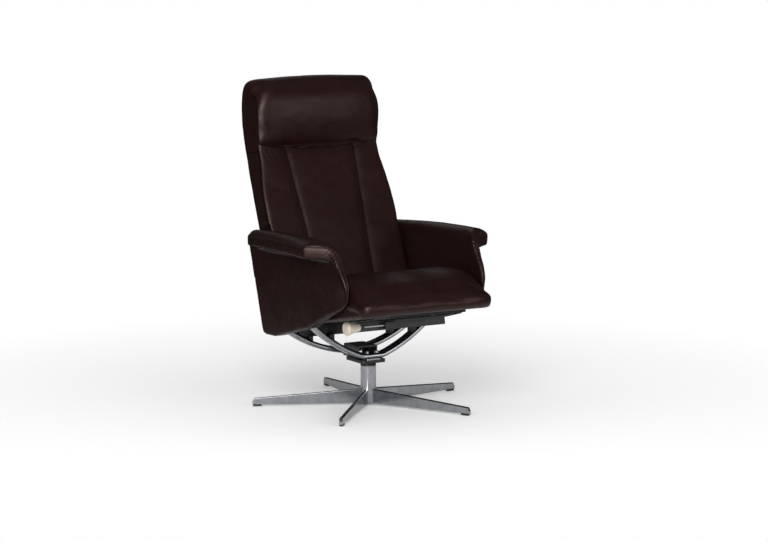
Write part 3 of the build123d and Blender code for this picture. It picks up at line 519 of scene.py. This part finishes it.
def inflated(obj, pressure, cap, held, frames=16):
    """Blows the skin up like a filled cover, by no more than cap at any point.

    held(points) gives how firmly each point is sewn down, from 0 to 1.
    """
    least_hold = 0.02
    before = coordinates(obj)
    cloth = obj.modifiers.new("cover", "CLOTH")
    settings = cloth.settings
    settings.quality = 4
    settings.mass = 0.25
    settings.tension_stiffness = settings.compression_stiffness = 12
    settings.shear_stiffness = 6
    settings.bending_stiffness = 6
    settings.use_pressure = True
    settings.uniform_pressure_force = pressure
    settings.effector_weights.gravity = 0
    cloth.collision_settings.use_collision = False
    group = obj.vertex_groups.new(name="held")
    weights = held(before)
    for index in np.nonzero(weights > least_hold)[0]:
        group.add([int(index)], float(min(1, weights[index])), "REPLACE")
    settings.vertex_group_mass = "held"
    cloth.point_cache.frame_start, cloth.point_cache.frame_end = 1, frames
    for step in range(1, frames + 1):
        scene.frame_set(step)
    settle(obj)
    scene.frame_set(1)
    obj.vertex_groups.clear()
    moved = coordinates(obj) - before
    length = np.linalg.norm(moved, axis=1, keepdims=True)
    move_to(obj, before + moved * np.minimum(1, cap / np.maximum(length, TINY)))


def pressed(obj, path, grooves):
    """Draws the skin in along a sewn line, by grooves of a given depth and width in turn."""
    for depth, width in grooves:
        points, out = coordinates(obj), normals(obj)
        amount = depth * nearness(points, path, width)
        move_to(obj, points - out * amount[:, None])


def rippled(obj, centre, radius, across, wave, height):
    """Small puckers round a point: ridges that run across a direction and wander a little."""
    wander_scale, wander = 30, 2.5
    points, out = coordinates(obj), normals(obj)
    centre, across = np.array(centre), np.array(across) / np.linalg.norm(across)
    away = points - centre
    near = np.exp(-((np.linalg.norm(away, axis=1) / radius) ** 2))
    drift = np.array([noise.noise(Vector(p) * wander_scale) for p in points]) * wander
    ridge = np.sin(away @ across * 2 * np.pi / wave + drift)
    move_to(obj, points + out * (ridge * near * height)[:, None])


def creased(obj, scale, height):
    """Very gentle unevenness, as in hide over foam: a broad noise and a finer, weaker one."""
    finer, weaker = 2.3, 0.5
    points, out = coordinates(obj), normals(obj)
    lift = np.array([
        noise.noise(Vector(p) * scale) + weaker * noise.noise(Vector(p) * scale * finer)
        for p in points
    ])
    move_to(obj, points + out * (lift * height)[:, None])


def piping(name, path, radius, body, material=LEATHER):
    """A sewn cord or thread along a seam."""
    curve = bpy.data.curves.new(name, "CURVE")
    curve.dimensions = "3D"
    curve.bevel_depth, curve.bevel_resolution, curve.use_fill_caps = radius, 4, True
    spline = curve.splines.new("NURBS")
    spline.points.add(len(path) - 1)
    for point, place in zip(spline.points, path):
        point.co = (*place, 1)
    spline.order_u, spline.use_endpoint_u, spline.resolution_u = 3, True, 8
    made = bpy.data.objects.new(name, curve)
    scene.collection.objects.link(made)
    curve.materials.append(material)
    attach(made, body)


def laid_on(obj, path, lift):
    """A finer, smoothed path that follows the finished skin of obj, lifted off it a little."""
    step_length, smoothing_rounds = 0.004, 4
    fine = []
    for start, end in zip(path[:-1], path[1:]):
        start, end = Vector(start), Vector(end)
        steps = max(1, round((end - start).length / step_length))
        fine += [start.lerp(end, step / steps) for step in range(steps)]
    fine.append(Vector(path[-1]))
    laid = []
    for spot in fine:
        _, place, normal, _ = obj.closest_point_on_mesh(spot)
        laid.append(place + normal * lift)
    for _ in range(smoothing_rounds):
        inner = [(a + b * 2 + c) / 4 for a, b, c in zip(laid, laid[1:], laid[2:])]
        laid = [laid[0], *inner, laid[-1]]
    return [tuple(place) for place in laid]


def dressed(obj, body, replaced):
    """Gives an upholstered piece its leather and its body, and hides the CAD solids that it stands for."""
    obj.data.materials.clear()
    obj.data.materials.append(LEATHER)
    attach(obj, body)
    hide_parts(*replaced)


# The threads in the seams, whose near-black colour paints the shade of the sewn grooves: how far their middle lies
# off the skin, and their radii.
THREAD_LIFT = 0.0001
THREAD_ON_BACK, THREAD_ON_ARM = 0.0011, 0.0010

# ================================================================ back and head
# How far the back's faces lean, the radius of the roll at its foot, and the arched seam under
# the head.
BACK_LEAN = math.radians(23.4)
REAR_LEAN = math.radians(21.4)
ROLL_RADIUS = 0.052
SEAM_HEIGHT, SEAM_SAG = 0.838, 0.018

# The head in the side view, as y and z: up its front, then over the top and down its rear.
HEAD_FRONT = [
    (0.3190, 0.834), (0.3105, 0.851), (0.3045, 0.871), (0.3005, 0.896), (0.2985, 0.926),
    (0.2995, 0.962), (0.3055, 0.997), (0.3180, 1.025), (0.3380, 1.0432), (0.3620, 1.0518),
]
HEAD_REAR = [
    (0.3850, 1.0535), (0.4060, 1.0500), (0.4210, 1.0390), (0.4300, 1.0180), (0.4345, 0.9850),
    (0.4355, 0.9450), (0.4340, 0.9100), (0.4290, 0.8780), (0.4210, 0.8480),
]
NECK_GAP, NAPE_GAP = 0.014, 0.03  # where the straight faces end under the head, in front and behind
FACE_POINTS, CURVE_STEPS, ROLL_POINTS = 40, 4, 24
SEAM_POINTS, HEAD_SEAM_POINTS = 14, 33

# The half width along the height: full low down, drawn in at the neck and a little on the head.
SKIN = 0.0012  # what the leather adds to the CAD cushion's half width
NECK_Z, NECK_SPREAD = 0.800, 0.062
NECK_DRAW, NECK_DRAW_AHEAD = 0.003, 0.007
HEAD_DRAW, HEAD_DRAW_FROM, HEAD_DRAW_TO = 0.004, 0.80, 0.88
LOW_GAIN, LOW_GAIN_FROM, LOW_GAIN_TO = 0.009, 0.80, 0.60

# Rounding of the upright edges, as width across and depth: behind, in front, in front on the head.
REAR_EDGE, FRONT_EDGE, HEAD_EDGE = (0.008, 0.008), (0.030, 0.012), (0.050, 0.020)
# Rounding of the head's upper corners, behind and in front, and the heights over which it sets in.
REAR_CORNER, FRONT_CORNER = 0.022, 0.064
CORNER_FROM, CORNER_TO = 0.90, 1.05
CREST_FALL = 0.005  # how much lower the crest is at its ends
HEAD_BOW = 0.012  # how far the head's front curves back towards its ends
HEAD_FROM, HEAD_TO = 0.835, 0.89  # heights over which the back turns into the head
HALF_THICKNESS = 0.045  # rear turns into front over this much on each side of the middle
INSET_FADE = 0.03  # nearer than this to the middle of the thickness, the edges' inset runs out
TOP_OF_STRAIGHT = 0.83  # above this height the middle of the thickness is upright

# Half distances between the sewn lines of the front, under the head and at their foot.
CHANNEL_HEAD_X, CHANNEL_FOOT_X, CHANNEL_FOOT_Z = 0.130, 0.102, 0.372
# The side seam: how far it lies behind the front face, its straight run, and its way over the
# head, as y and z.
SIDE_SEAM_SETBACK, SIDE_SEAM_INSET = 0.014, 0.0005
SIDE_SEAM_FROM, SIDE_SEAM_TO = 0.42, 0.82
SIDE_SEAM_ON_HEAD = [
    (0.3230, 0.860), (0.3215, 0.905), (0.3235, 0.955), (0.3320, 0.982), (0.3480, 0.998),
    (0.3680, 1.004),
]
HEAD_SEAM_HALF, HEAD_SEAM_SETBACK = 0.222, 0.001
NECK_SEAM = [(0.325, 0.8150), (0.355, 0.8085), (0.395, 0.8040)]
NECK_SEAM_Z = 0.81

# Grooves along the sewn lines, as depth and width: broad ones first, then the stitched line itself.
CHANNEL_GROOVES = [(0.0035, 0.024), (0.0030, 0.011), (0.0040, 0.0026)]
HEAD_GROOVES = [(0.0030, 0.012), (0.0040, 0.0028)]
NECK_GROOVES = [(0.0022, 0.0026)]
EDGE_GROOVES = [(0.0016, 0.0030)]
BACK_SEWN_WIDTH = 0.007  # how wide a sewn line holds the skin while it is blown up

# Puckers under the head seam's ends, as side, radius and height.
PUCKERS = [(RIGHT, 0.030, 0.0005), (LEFT, 0.026, 0.0004)]
PUCKER_X, PUCKER_Z, PUCKER_FRONT_Z, PUCKER_TILT = 0.190, 0.806, 0.812, 0.25

# The sides stay flat beyond this half width while the back is blown up, and end at these limits.
FLAT_SIDE, FLAT_SIDE_HOLD = 0.2290, 0.85
BETWEEN_ARMS, ABOVE_ARMS_GAIN, ARMS_END = 0.2418, 0.0095, (0.575, 0.615)
# What the leather may add to the roll's radius, and how high above the hip the roll reaches.
ROLL_SKIN, ROLL_TOP = 0.0002, 0.02

# Where the rings stand, as shares of the half width: close together near the sides.
RING_SHARES = [0.08, 0.22, 0.36, 0.5, 0.62, 0.74, 0.82, 0.88, 0.925, 0.96, 0.985, 1]


def roll_point(radius, angle):
    return hip.y + radius * math.cos(angle), hip.z + radius * math.sin(angle)


def front_line(z):
    """Depth of the back's front face at a height; the face is tangent to the roll."""
    y, foot = roll_point(ROLL_RADIUS, math.pi - BACK_LEAN)
    return y + (z - foot) * math.tan(BACK_LEAN)


def rear_line(z):
    """Depth of the back's rear face at a height."""
    y, foot = roll_point(ROLL_RADIUS, -REAR_LEAN)
    return y + (z - foot) * math.tan(REAR_LEAN)


def seam_z(x):
    """Height of the seam under the head: an arc, lowest in the middle."""
    return SEAM_HEIGHT - SEAM_SAG * (1 - min(1.0, abs(x) / back_half_width) ** 2)


def rounding(x, width, radius, depth=None):
    """How far a face is drawn in at x, where it rounds off towards the side at width."""
    past = min(1.0, max(0.0, abs(x) - (width - radius)) / radius)
    return (depth or radius) * (1 - math.sqrt(1 - past**2))


def curve_through(points, steps):
    """A smooth line through side-view points (Catmull-Rom)."""
    rows = [np.array(p) for p in points]
    rows = [2 * rows[0] - rows[1], *rows, 2 * rows[-1] - rows[-2]]
    made = []
    for p0, p1, p2, p3 in zip(rows, rows[1:], rows[2:], rows[3:]):
        for t in np.linspace(0, 1, steps, endpoint=False):
            made.append(
                0.5 * (2 * p1 + (p2 - p0) * t + (2 * p0 - 5 * p1 + 4 * p2 - p3) * t**2
                       + (3 * p1 - p0 - 3 * p2 + p3) * t**3)
            )
    return [tuple(p) for p in made]


def back_outline():
    """The back in the side view: up its front, over the head, down its rear, round the roll."""
    front_foot = roll_point(ROLL_RADIUS, math.pi - BACK_LEAN)[1]
    neck = HEAD_FRONT[0][1] - NECK_GAP
    front = [(front_line(z), z) for z in np.linspace(front_foot, neck, FACE_POINTS)]
    head = curve_through([*HEAD_FRONT, *HEAD_REAR], CURVE_STEPS)
    nape = HEAD_REAR[-1][1] - NAPE_GAP
    rear_foot = roll_point(ROLL_RADIUS, -REAR_LEAN)[1]
    rear = [(rear_line(z), z) for z in np.linspace(nape, rear_foot, FACE_POINTS)]
    turn = np.linspace(-REAR_LEAN, -(math.pi + BACK_LEAN), ROLL_POINTS)[1:-1]
    return front + head + rear + [roll_point(ROLL_RADIUS, angle) for angle in turn]


def middle_depth(z):
    """Depth of the middle of the back's thickness at a height."""
    z = min(z, TOP_OF_STRAIGHT)
    return (front_line(z) + rear_line(z)) / 2


def side_reach(z, ahead):
    """Half width of the back at a height; ahead is 1 on its front face and 0 on its rear."""
    neck = math.exp(-(((z - NECK_Z) / NECK_SPREAD) ** 2))
    head = ramp_at(z, HEAD_DRAW_FROM, HEAD_DRAW_TO)
    low = ramp_at(z, LOW_GAIN_FROM, LOW_GAIN_TO)
    drawn = back_half_width + SKIN - HEAD_DRAW * head - neck * (NECK_DRAW + NECK_DRAW_AHEAD * ahead)
    return drawn + LOW_GAIN * low * ahead


def back_ring(outline, share):
    """One ring of the back, at a share of its half width."""
    ring = []
    for y, z in outline:
        middle = middle_depth(z)
        ahead = ramp_at(middle - y, -HALF_THICKNESS, HALF_THICKNESS)
        on_head = ramp_at(z, HEAD_FROM, HEAD_TO)
        width = side_reach(z, ahead)
        x = share * width
        edge, depth = (
            mix(rear, mix(front, head, on_head), ahead)
            for rear, front, head in zip(REAR_EDGE, FRONT_EDGE, HEAD_EDGE)
        )
        inset = rounding(x, width, edge, depth)
        bow = ahead * on_head * HEAD_BOW * abs(share) ** 3
        y += (inset + bow) * max(-1.0, min(1.0, (middle - y) / INSET_FADE))
        corner = rounding(x, width, mix(REAR_CORNER, FRONT_CORNER, ahead))
        z -= ramp_at(z, CORNER_FROM, CORNER_TO) * (CREST_FALL * share**2 + corner)
        ring.append((x, y, z))
    return ring


def front_at(x, z):
    """Depth of the back's front face under the head."""
    return front_line(z) + rounding(x, side_reach(z, ahead=1), *FRONT_EDGE)


def channel(side):
    """The sewn line between the middle and a side panel of the back."""
    spots = []
    for share in np.linspace(0, 1, SEAM_POINTS):
        x = mix(CHANNEL_HEAD_X, CHANNEL_FOOT_X, share)
        z = mix(seam_z(x), CHANNEL_FOOT_Z, share)
        spots.append((side * x, front_line(z), z))
    return spots


def side_seam(side):
    """Where the front panels meet the side panel: up the front edge, then back over the head."""
    heights = np.linspace(SIDE_SEAM_FROM, SIDE_SEAM_TO, SEAM_POINTS)
    spots = [(front_line(z) + SIDE_SEAM_SETBACK, z) for z in heights] + SIDE_SEAM_ON_HEAD
    return [(side * (side_reach(z, ahead=1) - SIDE_SEAM_INSET), y, z) for y, z in spots]


def head_seam():
    """The seam under the head, across the front."""
    return [
        (x, front_at(x, seam_z(x)) + HEAD_SEAM_SETBACK, seam_z(x))
        for x in np.linspace(-HEAD_SEAM_HALF, HEAD_SEAM_HALF, HEAD_SEAM_POINTS)
    ]


def neck_seam(side):
    """The seam under the head as it runs on, a little lower, back along a side."""
    reach = side_reach(NECK_SEAM_Z, ahead=0.5)
    return [(side * reach, y, z) for y, z in NECK_SEAM]


def kept_clear(obj):
    """Keeps the back's foot a true roll that turns free of the seat, and its sides off the arms."""
    points = coordinates(obj)
    offset, reach = from_hip(points)
    low = points[:, 2] < hip.z + ROLL_TOP
    cut = np.where(low, np.minimum(1, (ROLL_RADIUS + ROLL_SKIN) / np.maximum(reach, TINY)), 1)
    points[:, 1:] = hip_spot + offset * cut[:, None]
    limit = BETWEEN_ARMS + ABOVE_ARMS_GAIN * ramp(points[:, 2], *ARMS_END)
    points[:, 0] = np.clip(points[:, 0], -limit, limit)
    move_to(obj, points)


def make_back():
    outline = back_outline()
    shares = [*(-share for share in reversed(RING_SHARES)), *RING_SHARES]
    back = lofted("back_upholstery", [back_ring(outline, share) for share in shares])
    remeshed(back, voxel=0.0055)
    channels = [channel(side) for side in SIDES]
    edges = [side_seam(side) for side in SIDES]
    across = head_seam()
    ends = [neck_seam(side) for side in SIDES]

    def held(points):
        lines = (*channels, *edges, across, *ends)
        sewn = [nearness(points, line, BACK_SEWN_WIDTH) for line in lines]
        flat = (np.abs(points[:, 0]) > FLAT_SIDE).astype(float) * FLAT_SIDE_HOLD
        return np.maximum.reduce([*sewn, flat])

    inflated(back, pressure=2.5, cap=0.006, held=held)
    relaxed(back, steps=1)
    divided(back)
    for line in channels:
        pressed(back, line, CHANNEL_GROOVES)
    pressed(back, across, HEAD_GROOVES)
    for line in ends:
        pressed(back, line, NECK_GROOVES)
    for line in edges:
        pressed(back, line, EDGE_GROOVES)
    for side, radius, height in PUCKERS:
        centre = (side * PUCKER_X, front_at(side * PUCKER_X, PUCKER_FRONT_Z), PUCKER_Z)
        rippled(back, centre, radius, across=(1, 0, -side * PUCKER_TILT), wave=0.017, height=height)
    creased(back, scale=11, height=0.0011)
    kept_clear(back)
    dressed(back, "back", ["back_cushion", "back_cover", "headrest"])
    seams = {
        "channel_seam_right": channels[0],
        "channel_seam_left": channels[1],
        "head_seam": across,
        "side_seam_right": edges[0],
        "side_seam_left": edges[1],
        "neck_seam_right": ends[0],
        "neck_seam_left": ends[1],
    }
    for name, line in seams.items():
        piping(name, laid_on(back, line, THREAD_LIFT), THREAD_ON_BACK, "back", THREAD_WITH_PAINTED_SHADE)


# ================================================================ seat
# The seat is held where its skin faces down: the normal's z where the hold begins and is full.
UNDERSIDE = (0.1, -0.6)
# The top sinks by this much towards its rear.
SEAT_SINK, SINK_BACKWARD, SINK_UPWARD = 0.007, (-0.30, -0.02), (0.40, 0.44)
ROLL_ROOM = 0.0008  # what the seat's hollow leaves round the back's roll
# The half width that the arms leave: less near the underside.
SEAT_LIMIT, SEAT_LIMIT_GAIN, SEAT_LIMIT_HEIGHTS = 0.2392, 0.0038, (0.365, 0.385)


def make_seat():
    seat = copied("seat_upholstery", "seat_cushion")
    remeshed(seat, voxel=0.006)
    relaxed(seat, steps=4)

    def held(points):
        return ramp(normals(seat)[:, 2], *UNDERSIDE)

    inflated(seat, pressure=2.5, cap=0.007, held=held)
    relaxed(seat, steps=3)
    divided(seat)
    creased(seat, scale=8, height=0.0012)
    points = coordinates(seat)
    sink = SEAT_SINK * ramp(points[:, 1], *SINK_BACKWARD) * ramp(points[:, 2], *SINK_UPWARD)
    points[:, 2] -= sink
    offset, reach = from_hip(points)
    grow = np.maximum(1, (ROLL_RADIUS + ROLL_ROOM) / np.maximum(reach, TINY))
    points[:, 1:] = hip_spot + offset * grow[:, None]
    limit = SEAT_LIMIT + SEAT_LIMIT_GAIN * ramp(points[:, 2], *SEAT_LIMIT_HEIGHTS)
    points[:, 0] = np.clip(points[:, 0], -limit, limit)
    move_to(seat, points)
    dressed(seat, "seat", ["seat_cushion"])


# ================================================================ arms
ARM_INNER = 0.2462  # half distance between the arms' inner faces
# Along Y: the rear end, the corner where the cap turns across the front, and the bend to the strip.
ARM_REAR, ARM_CORNER, ARM_BEND = 0.262, -0.182, -0.238
# Side views of the arm, as y and z: its underside, and the top of its front edge.
ARM_FLOOR = [
    (-0.301, 0.396), (-0.294, 0.386), (-0.270, 0.369), (-0.223, 0.347), (-0.173, 0.324),
    (-0.114, 0.293), (0.104, 0.236), (0.163, 0.235), (0.176, 0.240), (0.185, 0.262),
    (0.280, 0.572),
]
ARM_FRONT = [
    (-0.301, 0.436), (-0.2975, 0.452), (-0.290, 0.468), (-0.276, 0.490), (-0.263, 0.508),
    (-0.252, 0.527), (-0.243, 0.546), (-0.232, 0.561), (-0.215, 0.574), (-0.180, 0.590),
]
# Plan view of the panel's outer face, as y and x.
ARM_OUTER = [
    (-0.301, 0.262), (-0.262, 0.268), (-0.220, 0.275), (-0.100, 0.286), (0.100, 0.295),
    (0.262, 0.299),
]
# The cap's outer edge, as x: at its rear end, what it gains up to the corner, at the corner
# itself, and how far it stands out from the strip's panel.
CAP_REAR_X, CAP_FLARE, CAP_CORNER_X, EDGE_OUT = 0.300, 0.045, 0.346, 0.001
# Heights of crest, outer edge and lip at the rear end, and how they change towards the front.
CREST_Z, EDGE_Z, LIP_Z = 0.567, 0.545, 0.514
CAP_RISE, CAP_BOW, LIP_RISE, RISE_END = 0.017, 0.024, 0.009, -0.2
EDGE_DIP, EDGE_DIP_FROM, EDGE_DIP_TO = 0.010, -0.225, -0.25
LEAST_CROWN, STRIP_CROWN, LEAST_BAND, LEAST_HEIGHT = 0.002, 0.004, 0.006, 0.012
STRIP_FROM, STRIP_TO = -0.205, -0.245  # where the overhanging band turns into the plain front strip
# The front strip thins towards its lower end, within these spans of y and z.
TAPER, TAPER_AHEAD, TAPER_DOWN = 0.006, (-0.215, -0.290), (0.455, 0.385)
# Radius of the cap's inner roll: the most, the least, its share of the arm's height, and its
# value on the strip.
ROLL_MOST, ROLL_LEAST, ROLL_SHARE, ROLL_ON_STRIP = 0.105, 0.010, 0.6, 0.008
CREST_SHARE, CREST_SHARE_ON_STRIP = 0.42, 0.30  # where the crest lies between inner face and edge
ROLL_POWER = 0.8  # below 1 the inner roll leaves the inner face more slowly than an arc
# The cap's fall from crest to edge: shares of its width, and the power that bends it down.
CAP_SHARES, CAP_POWER = (0.25, 0.5, 0.75, 0.92), 2.2
# The band between edge and lip: two heights as shares, and how far the lower and the lip tuck in.
BAND_UPPER, BAND_LOWER, BAND_TUCK, LIP_TUCK = 0.35, 0.7, 0.001, 0.004
# Under the lip: its overhang's shares, how far it stands back, rises, and drops at the panel.
UNDER_SHARES, UNDER_TUCK, UNDER_RISE = (0.35, 0.7, 1.0), 0.006, 0.003
UNDER_DROP, UNDER_DROP_SHARE = 0.004, 0.2
INNER_POINTS, INNER_ROLL_POINTS, PANEL_POINTS = 8, 10, 10

# The welt and the lip's seam: their runs along the cap, as two places along Y and a number of
# points, then their ways across the front and down.
WELT_RUN, LIP_RUN = (0.256, -0.155, 9), (0.235, -0.172, 8)
WELT_FRONT = [
    (0.3455, -0.174, 0.5635), (0.3430, -0.1860, 0.5640), (0.3270, -0.1980, 0.5640),
    (0.3040, -0.2115, 0.5635), (0.2820, -0.2230, 0.5600), (0.2660, -0.2325, 0.5510),
    (0.2550, -0.2420, 0.5370), (0.2490, -0.2520, 0.5200), (0.2470, -0.2640, 0.5030),
    (0.2465, -0.2790, 0.4820), (0.2465, -0.2925, 0.4590), (0.2465, -0.3010, 0.4360),
    (0.2470, -0.3015, 0.4080), (0.2480, -0.2920, 0.3900),
]
LIP_FRONT = [
    (0.3380, -0.1860, 0.5225), (0.3080, -0.2050, 0.5220), (0.2840, -0.2220, 0.5190),
    (0.2720, -0.2360, 0.5110), (0.2695, -0.2490, 0.4990), (0.2665, -0.2680, 0.4800),
    (0.2640, -0.2840, 0.4600), (0.2610, -0.2960, 0.4360), (0.2590, -0.2990, 0.4120),
    (0.2570, -0.2920, 0.3900),
]
WELT_OUT, WELT_UP = 0.0012, 0.001
WELT_RADIUS, WELT_LIFT = 0.0017, 0.0006
WELT_GROOVES = [(0.0018, 0.0035)]
LIP_GROOVES = [(0.0016, 0.0035)]
ARM_SEWN_WIDTH = 0.006

# What stays in place while an arm is blown up: the inner face, and the panel under the lip.
INNER_SKIN, INNER_HOLD, PANEL_HOLD = 0.2485, 0.9, 0.95
PANEL_DOWN, PANEL_OUT, PANEL_BACK = (0.515, 0.495), (0.252, 0.262), (-0.29, -0.27)
ARM_LIMIT = 0.2452  # nearer to the middle than this, the leather would touch seat and back

# Where the rings of an arm stand along Y.
ARM_STATIONS = [
    0.274, 0.264, 0.252, 0.237, 0.218, 0.200, 0.187, 0.180, 0.175, 0.168, 0.158,
    *np.linspace(0.13, -0.16, 12),
    -0.172, -0.178, -0.182, -0.190, -0.200, -0.210, -0.220, -0.230, -0.238, -0.246, -0.254, -0.262,
    -0.270, -0.278, -0.286, -0.292, -0.2965, -0.2995, -0.301,
]


def looked_up(table, y):
    return float(np.interp(y, [row[0] for row in table], [row[1] for row in table]))


def arm_climb(y):
    """How much higher than at its rear end the arm's crest is at y."""
    share = (ARM_REAR - y) / (ARM_REAR - ARM_CORNER)
    return CAP_RISE * share + CAP_BOW * share * (1 - share)


def arm_reach(y):
    """How far out the cap's edge stands at y; from the corner it runs obliquely to the bend."""
    if y > ARM_CORNER:
        return CAP_REAR_X + CAP_FLARE * (ARM_REAR - y) / (ARM_REAR - ARM_CORNER)
    if y < ARM_BEND:
        return looked_up(ARM_OUTER, y) + EDGE_OUT
    at_bend = looked_up(ARM_OUTER, ARM_BEND) + EDGE_OUT
    return float(np.interp(y, [ARM_BEND, ARM_CORNER], [at_bend, CAP_CORNER_X]))


def arm_strip(y):
    """1 where the arm's front edge is a plain strip without the overhanging band, 0 behind it."""
    return ramp_at(y, STRIP_FROM, STRIP_TO)


def arm_heights(y):
    """Heights of crest, outer edge and lip at y."""
    climb = arm_climb(max(y, RISE_END))
    crest = min(CREST_Z + climb, looked_up(ARM_FRONT, y))
    edge = EDGE_Z + climb - EDGE_DIP * ramp_at(y, EDGE_DIP_FROM, EDGE_DIP_TO)
    edge = min(edge, crest - LEAST_CROWN - STRIP_CROWN * arm_strip(y))
    lip = LIP_Z + LIP_RISE * (ARM_REAR - max(y, ARM_CORNER)) / (ARM_REAR - ARM_CORNER)
    return crest, edge, min(lip, edge - LEAST_BAND)


def front_taper(y, z):
    """How far out the panel stands; the arm thins towards the lower end of its front strip."""
    return looked_up(ARM_OUTER, y) - TAPER * ramp_at(y, *TAPER_AHEAD) * ramp_at(z, *TAPER_DOWN)


def arm_ring(y, side):
    """One ring of an arm: up the inner face, over the cap, round its edge, down the outer panel."""
    crest, edge, lip = arm_heights(y)
    floor = min(looked_up(ARM_FLOOR, y), crest - LEAST_HEIGHT)
    reach = arm_reach(y)
    strip = arm_strip(y)
    roll = min(ROLL_MOST, max(ROLL_LEAST, (crest - floor) * ROLL_SHARE))
    roll = mix(roll, ROLL_ON_STRIP, strip)
    crest_x = ARM_INNER + mix(CREST_SHARE, CREST_SHARE_ON_STRIP, strip) * (reach - ARM_INNER)
    ring = [(ARM_INNER, z) for z in np.linspace(floor, crest - roll, INNER_POINTS)]
    for angle in np.linspace(0, math.pi / 2, INNER_ROLL_POINTS)[1:]:
        x = crest_x - (crest_x - ARM_INNER) * math.cos(angle) ** ROLL_POWER
        ring.append((x, crest - roll + roll * math.sin(angle)))
    for share in CAP_SHARES:
        fall = (crest - edge) * share**CAP_POWER
        ring.append((crest_x + (reach - crest_x) * share, crest - fall))
    ring += [
        (reach, edge),
        (reach, edge - BAND_UPPER * (edge - lip)),
        (reach - BAND_TUCK, edge - BAND_LOWER * (edge - lip)),
        (reach - LIP_TUCK * (1 - strip), lip),
    ]
    # Back under the lip to the panel, and down it.
    outer = looked_up(ARM_OUTER, y)
    under = max(0.0, reach - UNDER_TUCK - outer)
    drop = min(UNDER_DROP, (lip - floor) * UNDER_DROP_SHARE)
    for share in UNDER_SHARES:
        z = lip + UNDER_RISE - (UNDER_RISE + drop) * share
        ring.append((outer + under * (1 - share), z))
    for z in np.linspace(lip - drop, floor, PANEL_POINTS)[1:]:
        ring.append((front_taper(y, z), z))
    return [(side * x, y, z) for x, z in ring]


def arm_welt(side):
    """The piped seam: along the cap's outer edge, across the front, down the inner front edge."""
    path = [
        (arm_reach(y) + WELT_OUT, y, arm_heights(y)[1] + WELT_UP)
        for y in np.linspace(*WELT_RUN)
    ]
    return [(side * x, y, z) for x, y, z in path + WELT_FRONT]


def arm_lip(side):
    """The lower seam of the band, running on down the outer edge of the front strip."""
    path = [(arm_reach(y) - LIP_TUCK, y, arm_heights(y)[2]) for y in np.linspace(*LIP_RUN)]
    return [(side * x, y, z) for x, y, z in path + LIP_FRONT]


def make_arm(side):
    label = "left" if side == LEFT else "right"
    arm = lofted(f"arm_upholstery_{label}", [arm_ring(y, side) for y in ARM_STATIONS])
    remeshed(arm, voxel=0.0042)
    relaxed(arm, steps=3)
    welt, lip = arm_welt(side), arm_lip(side)

    def held(points):
        sewn = [nearness(points, line, ARM_SEWN_WIDTH) for line in (welt, lip)]
        out, y, z = np.abs(points[:, 0]), points[:, 1], points[:, 2]
        inside = (out < INNER_SKIN).astype(float)
        panel = ramp(z, *PANEL_DOWN) * ramp(out, *PANEL_OUT) * ramp(y, *PANEL_BACK)
        return np.maximum.reduce([*sewn, INNER_HOLD * inside, PANEL_HOLD * panel])

    inflated(arm, pressure=2.5, cap=0.004, held=held, frames=12)
    divided(arm)
    pressed(arm, welt, WELT_GROOVES)
    pressed(arm, lip, LIP_GROOVES)
    bend = (side * 0.266, -0.240, 0.530)
    rippled(arm, bend, radius=0.022, across=(side * 0.8, 0.3, 0.7), wave=0.0100, height=0.0014)
    creased(arm, scale=12, height=0.0009)
    points = coordinates(arm)
    points[np.abs(points[:, 0]) < ARM_LIMIT, 0] = side * ARM_LIMIT
    move_to(arm, points)
    dressed(arm, "chassis", [f"arm_{label}"])
    piping(f"arm_piping_{label}", laid_on(arm, welt, WELT_LIFT), WELT_RADIUS, "chassis")
    piping(f"arm_seam_{label}", laid_on(arm, lip, THREAD_LIFT), THREAD_ON_ARM, "chassis", THREAD_WITH_PAINTED_SHADE)


make_back()
make_seat()
for side in SIDES:
    make_arm(side)
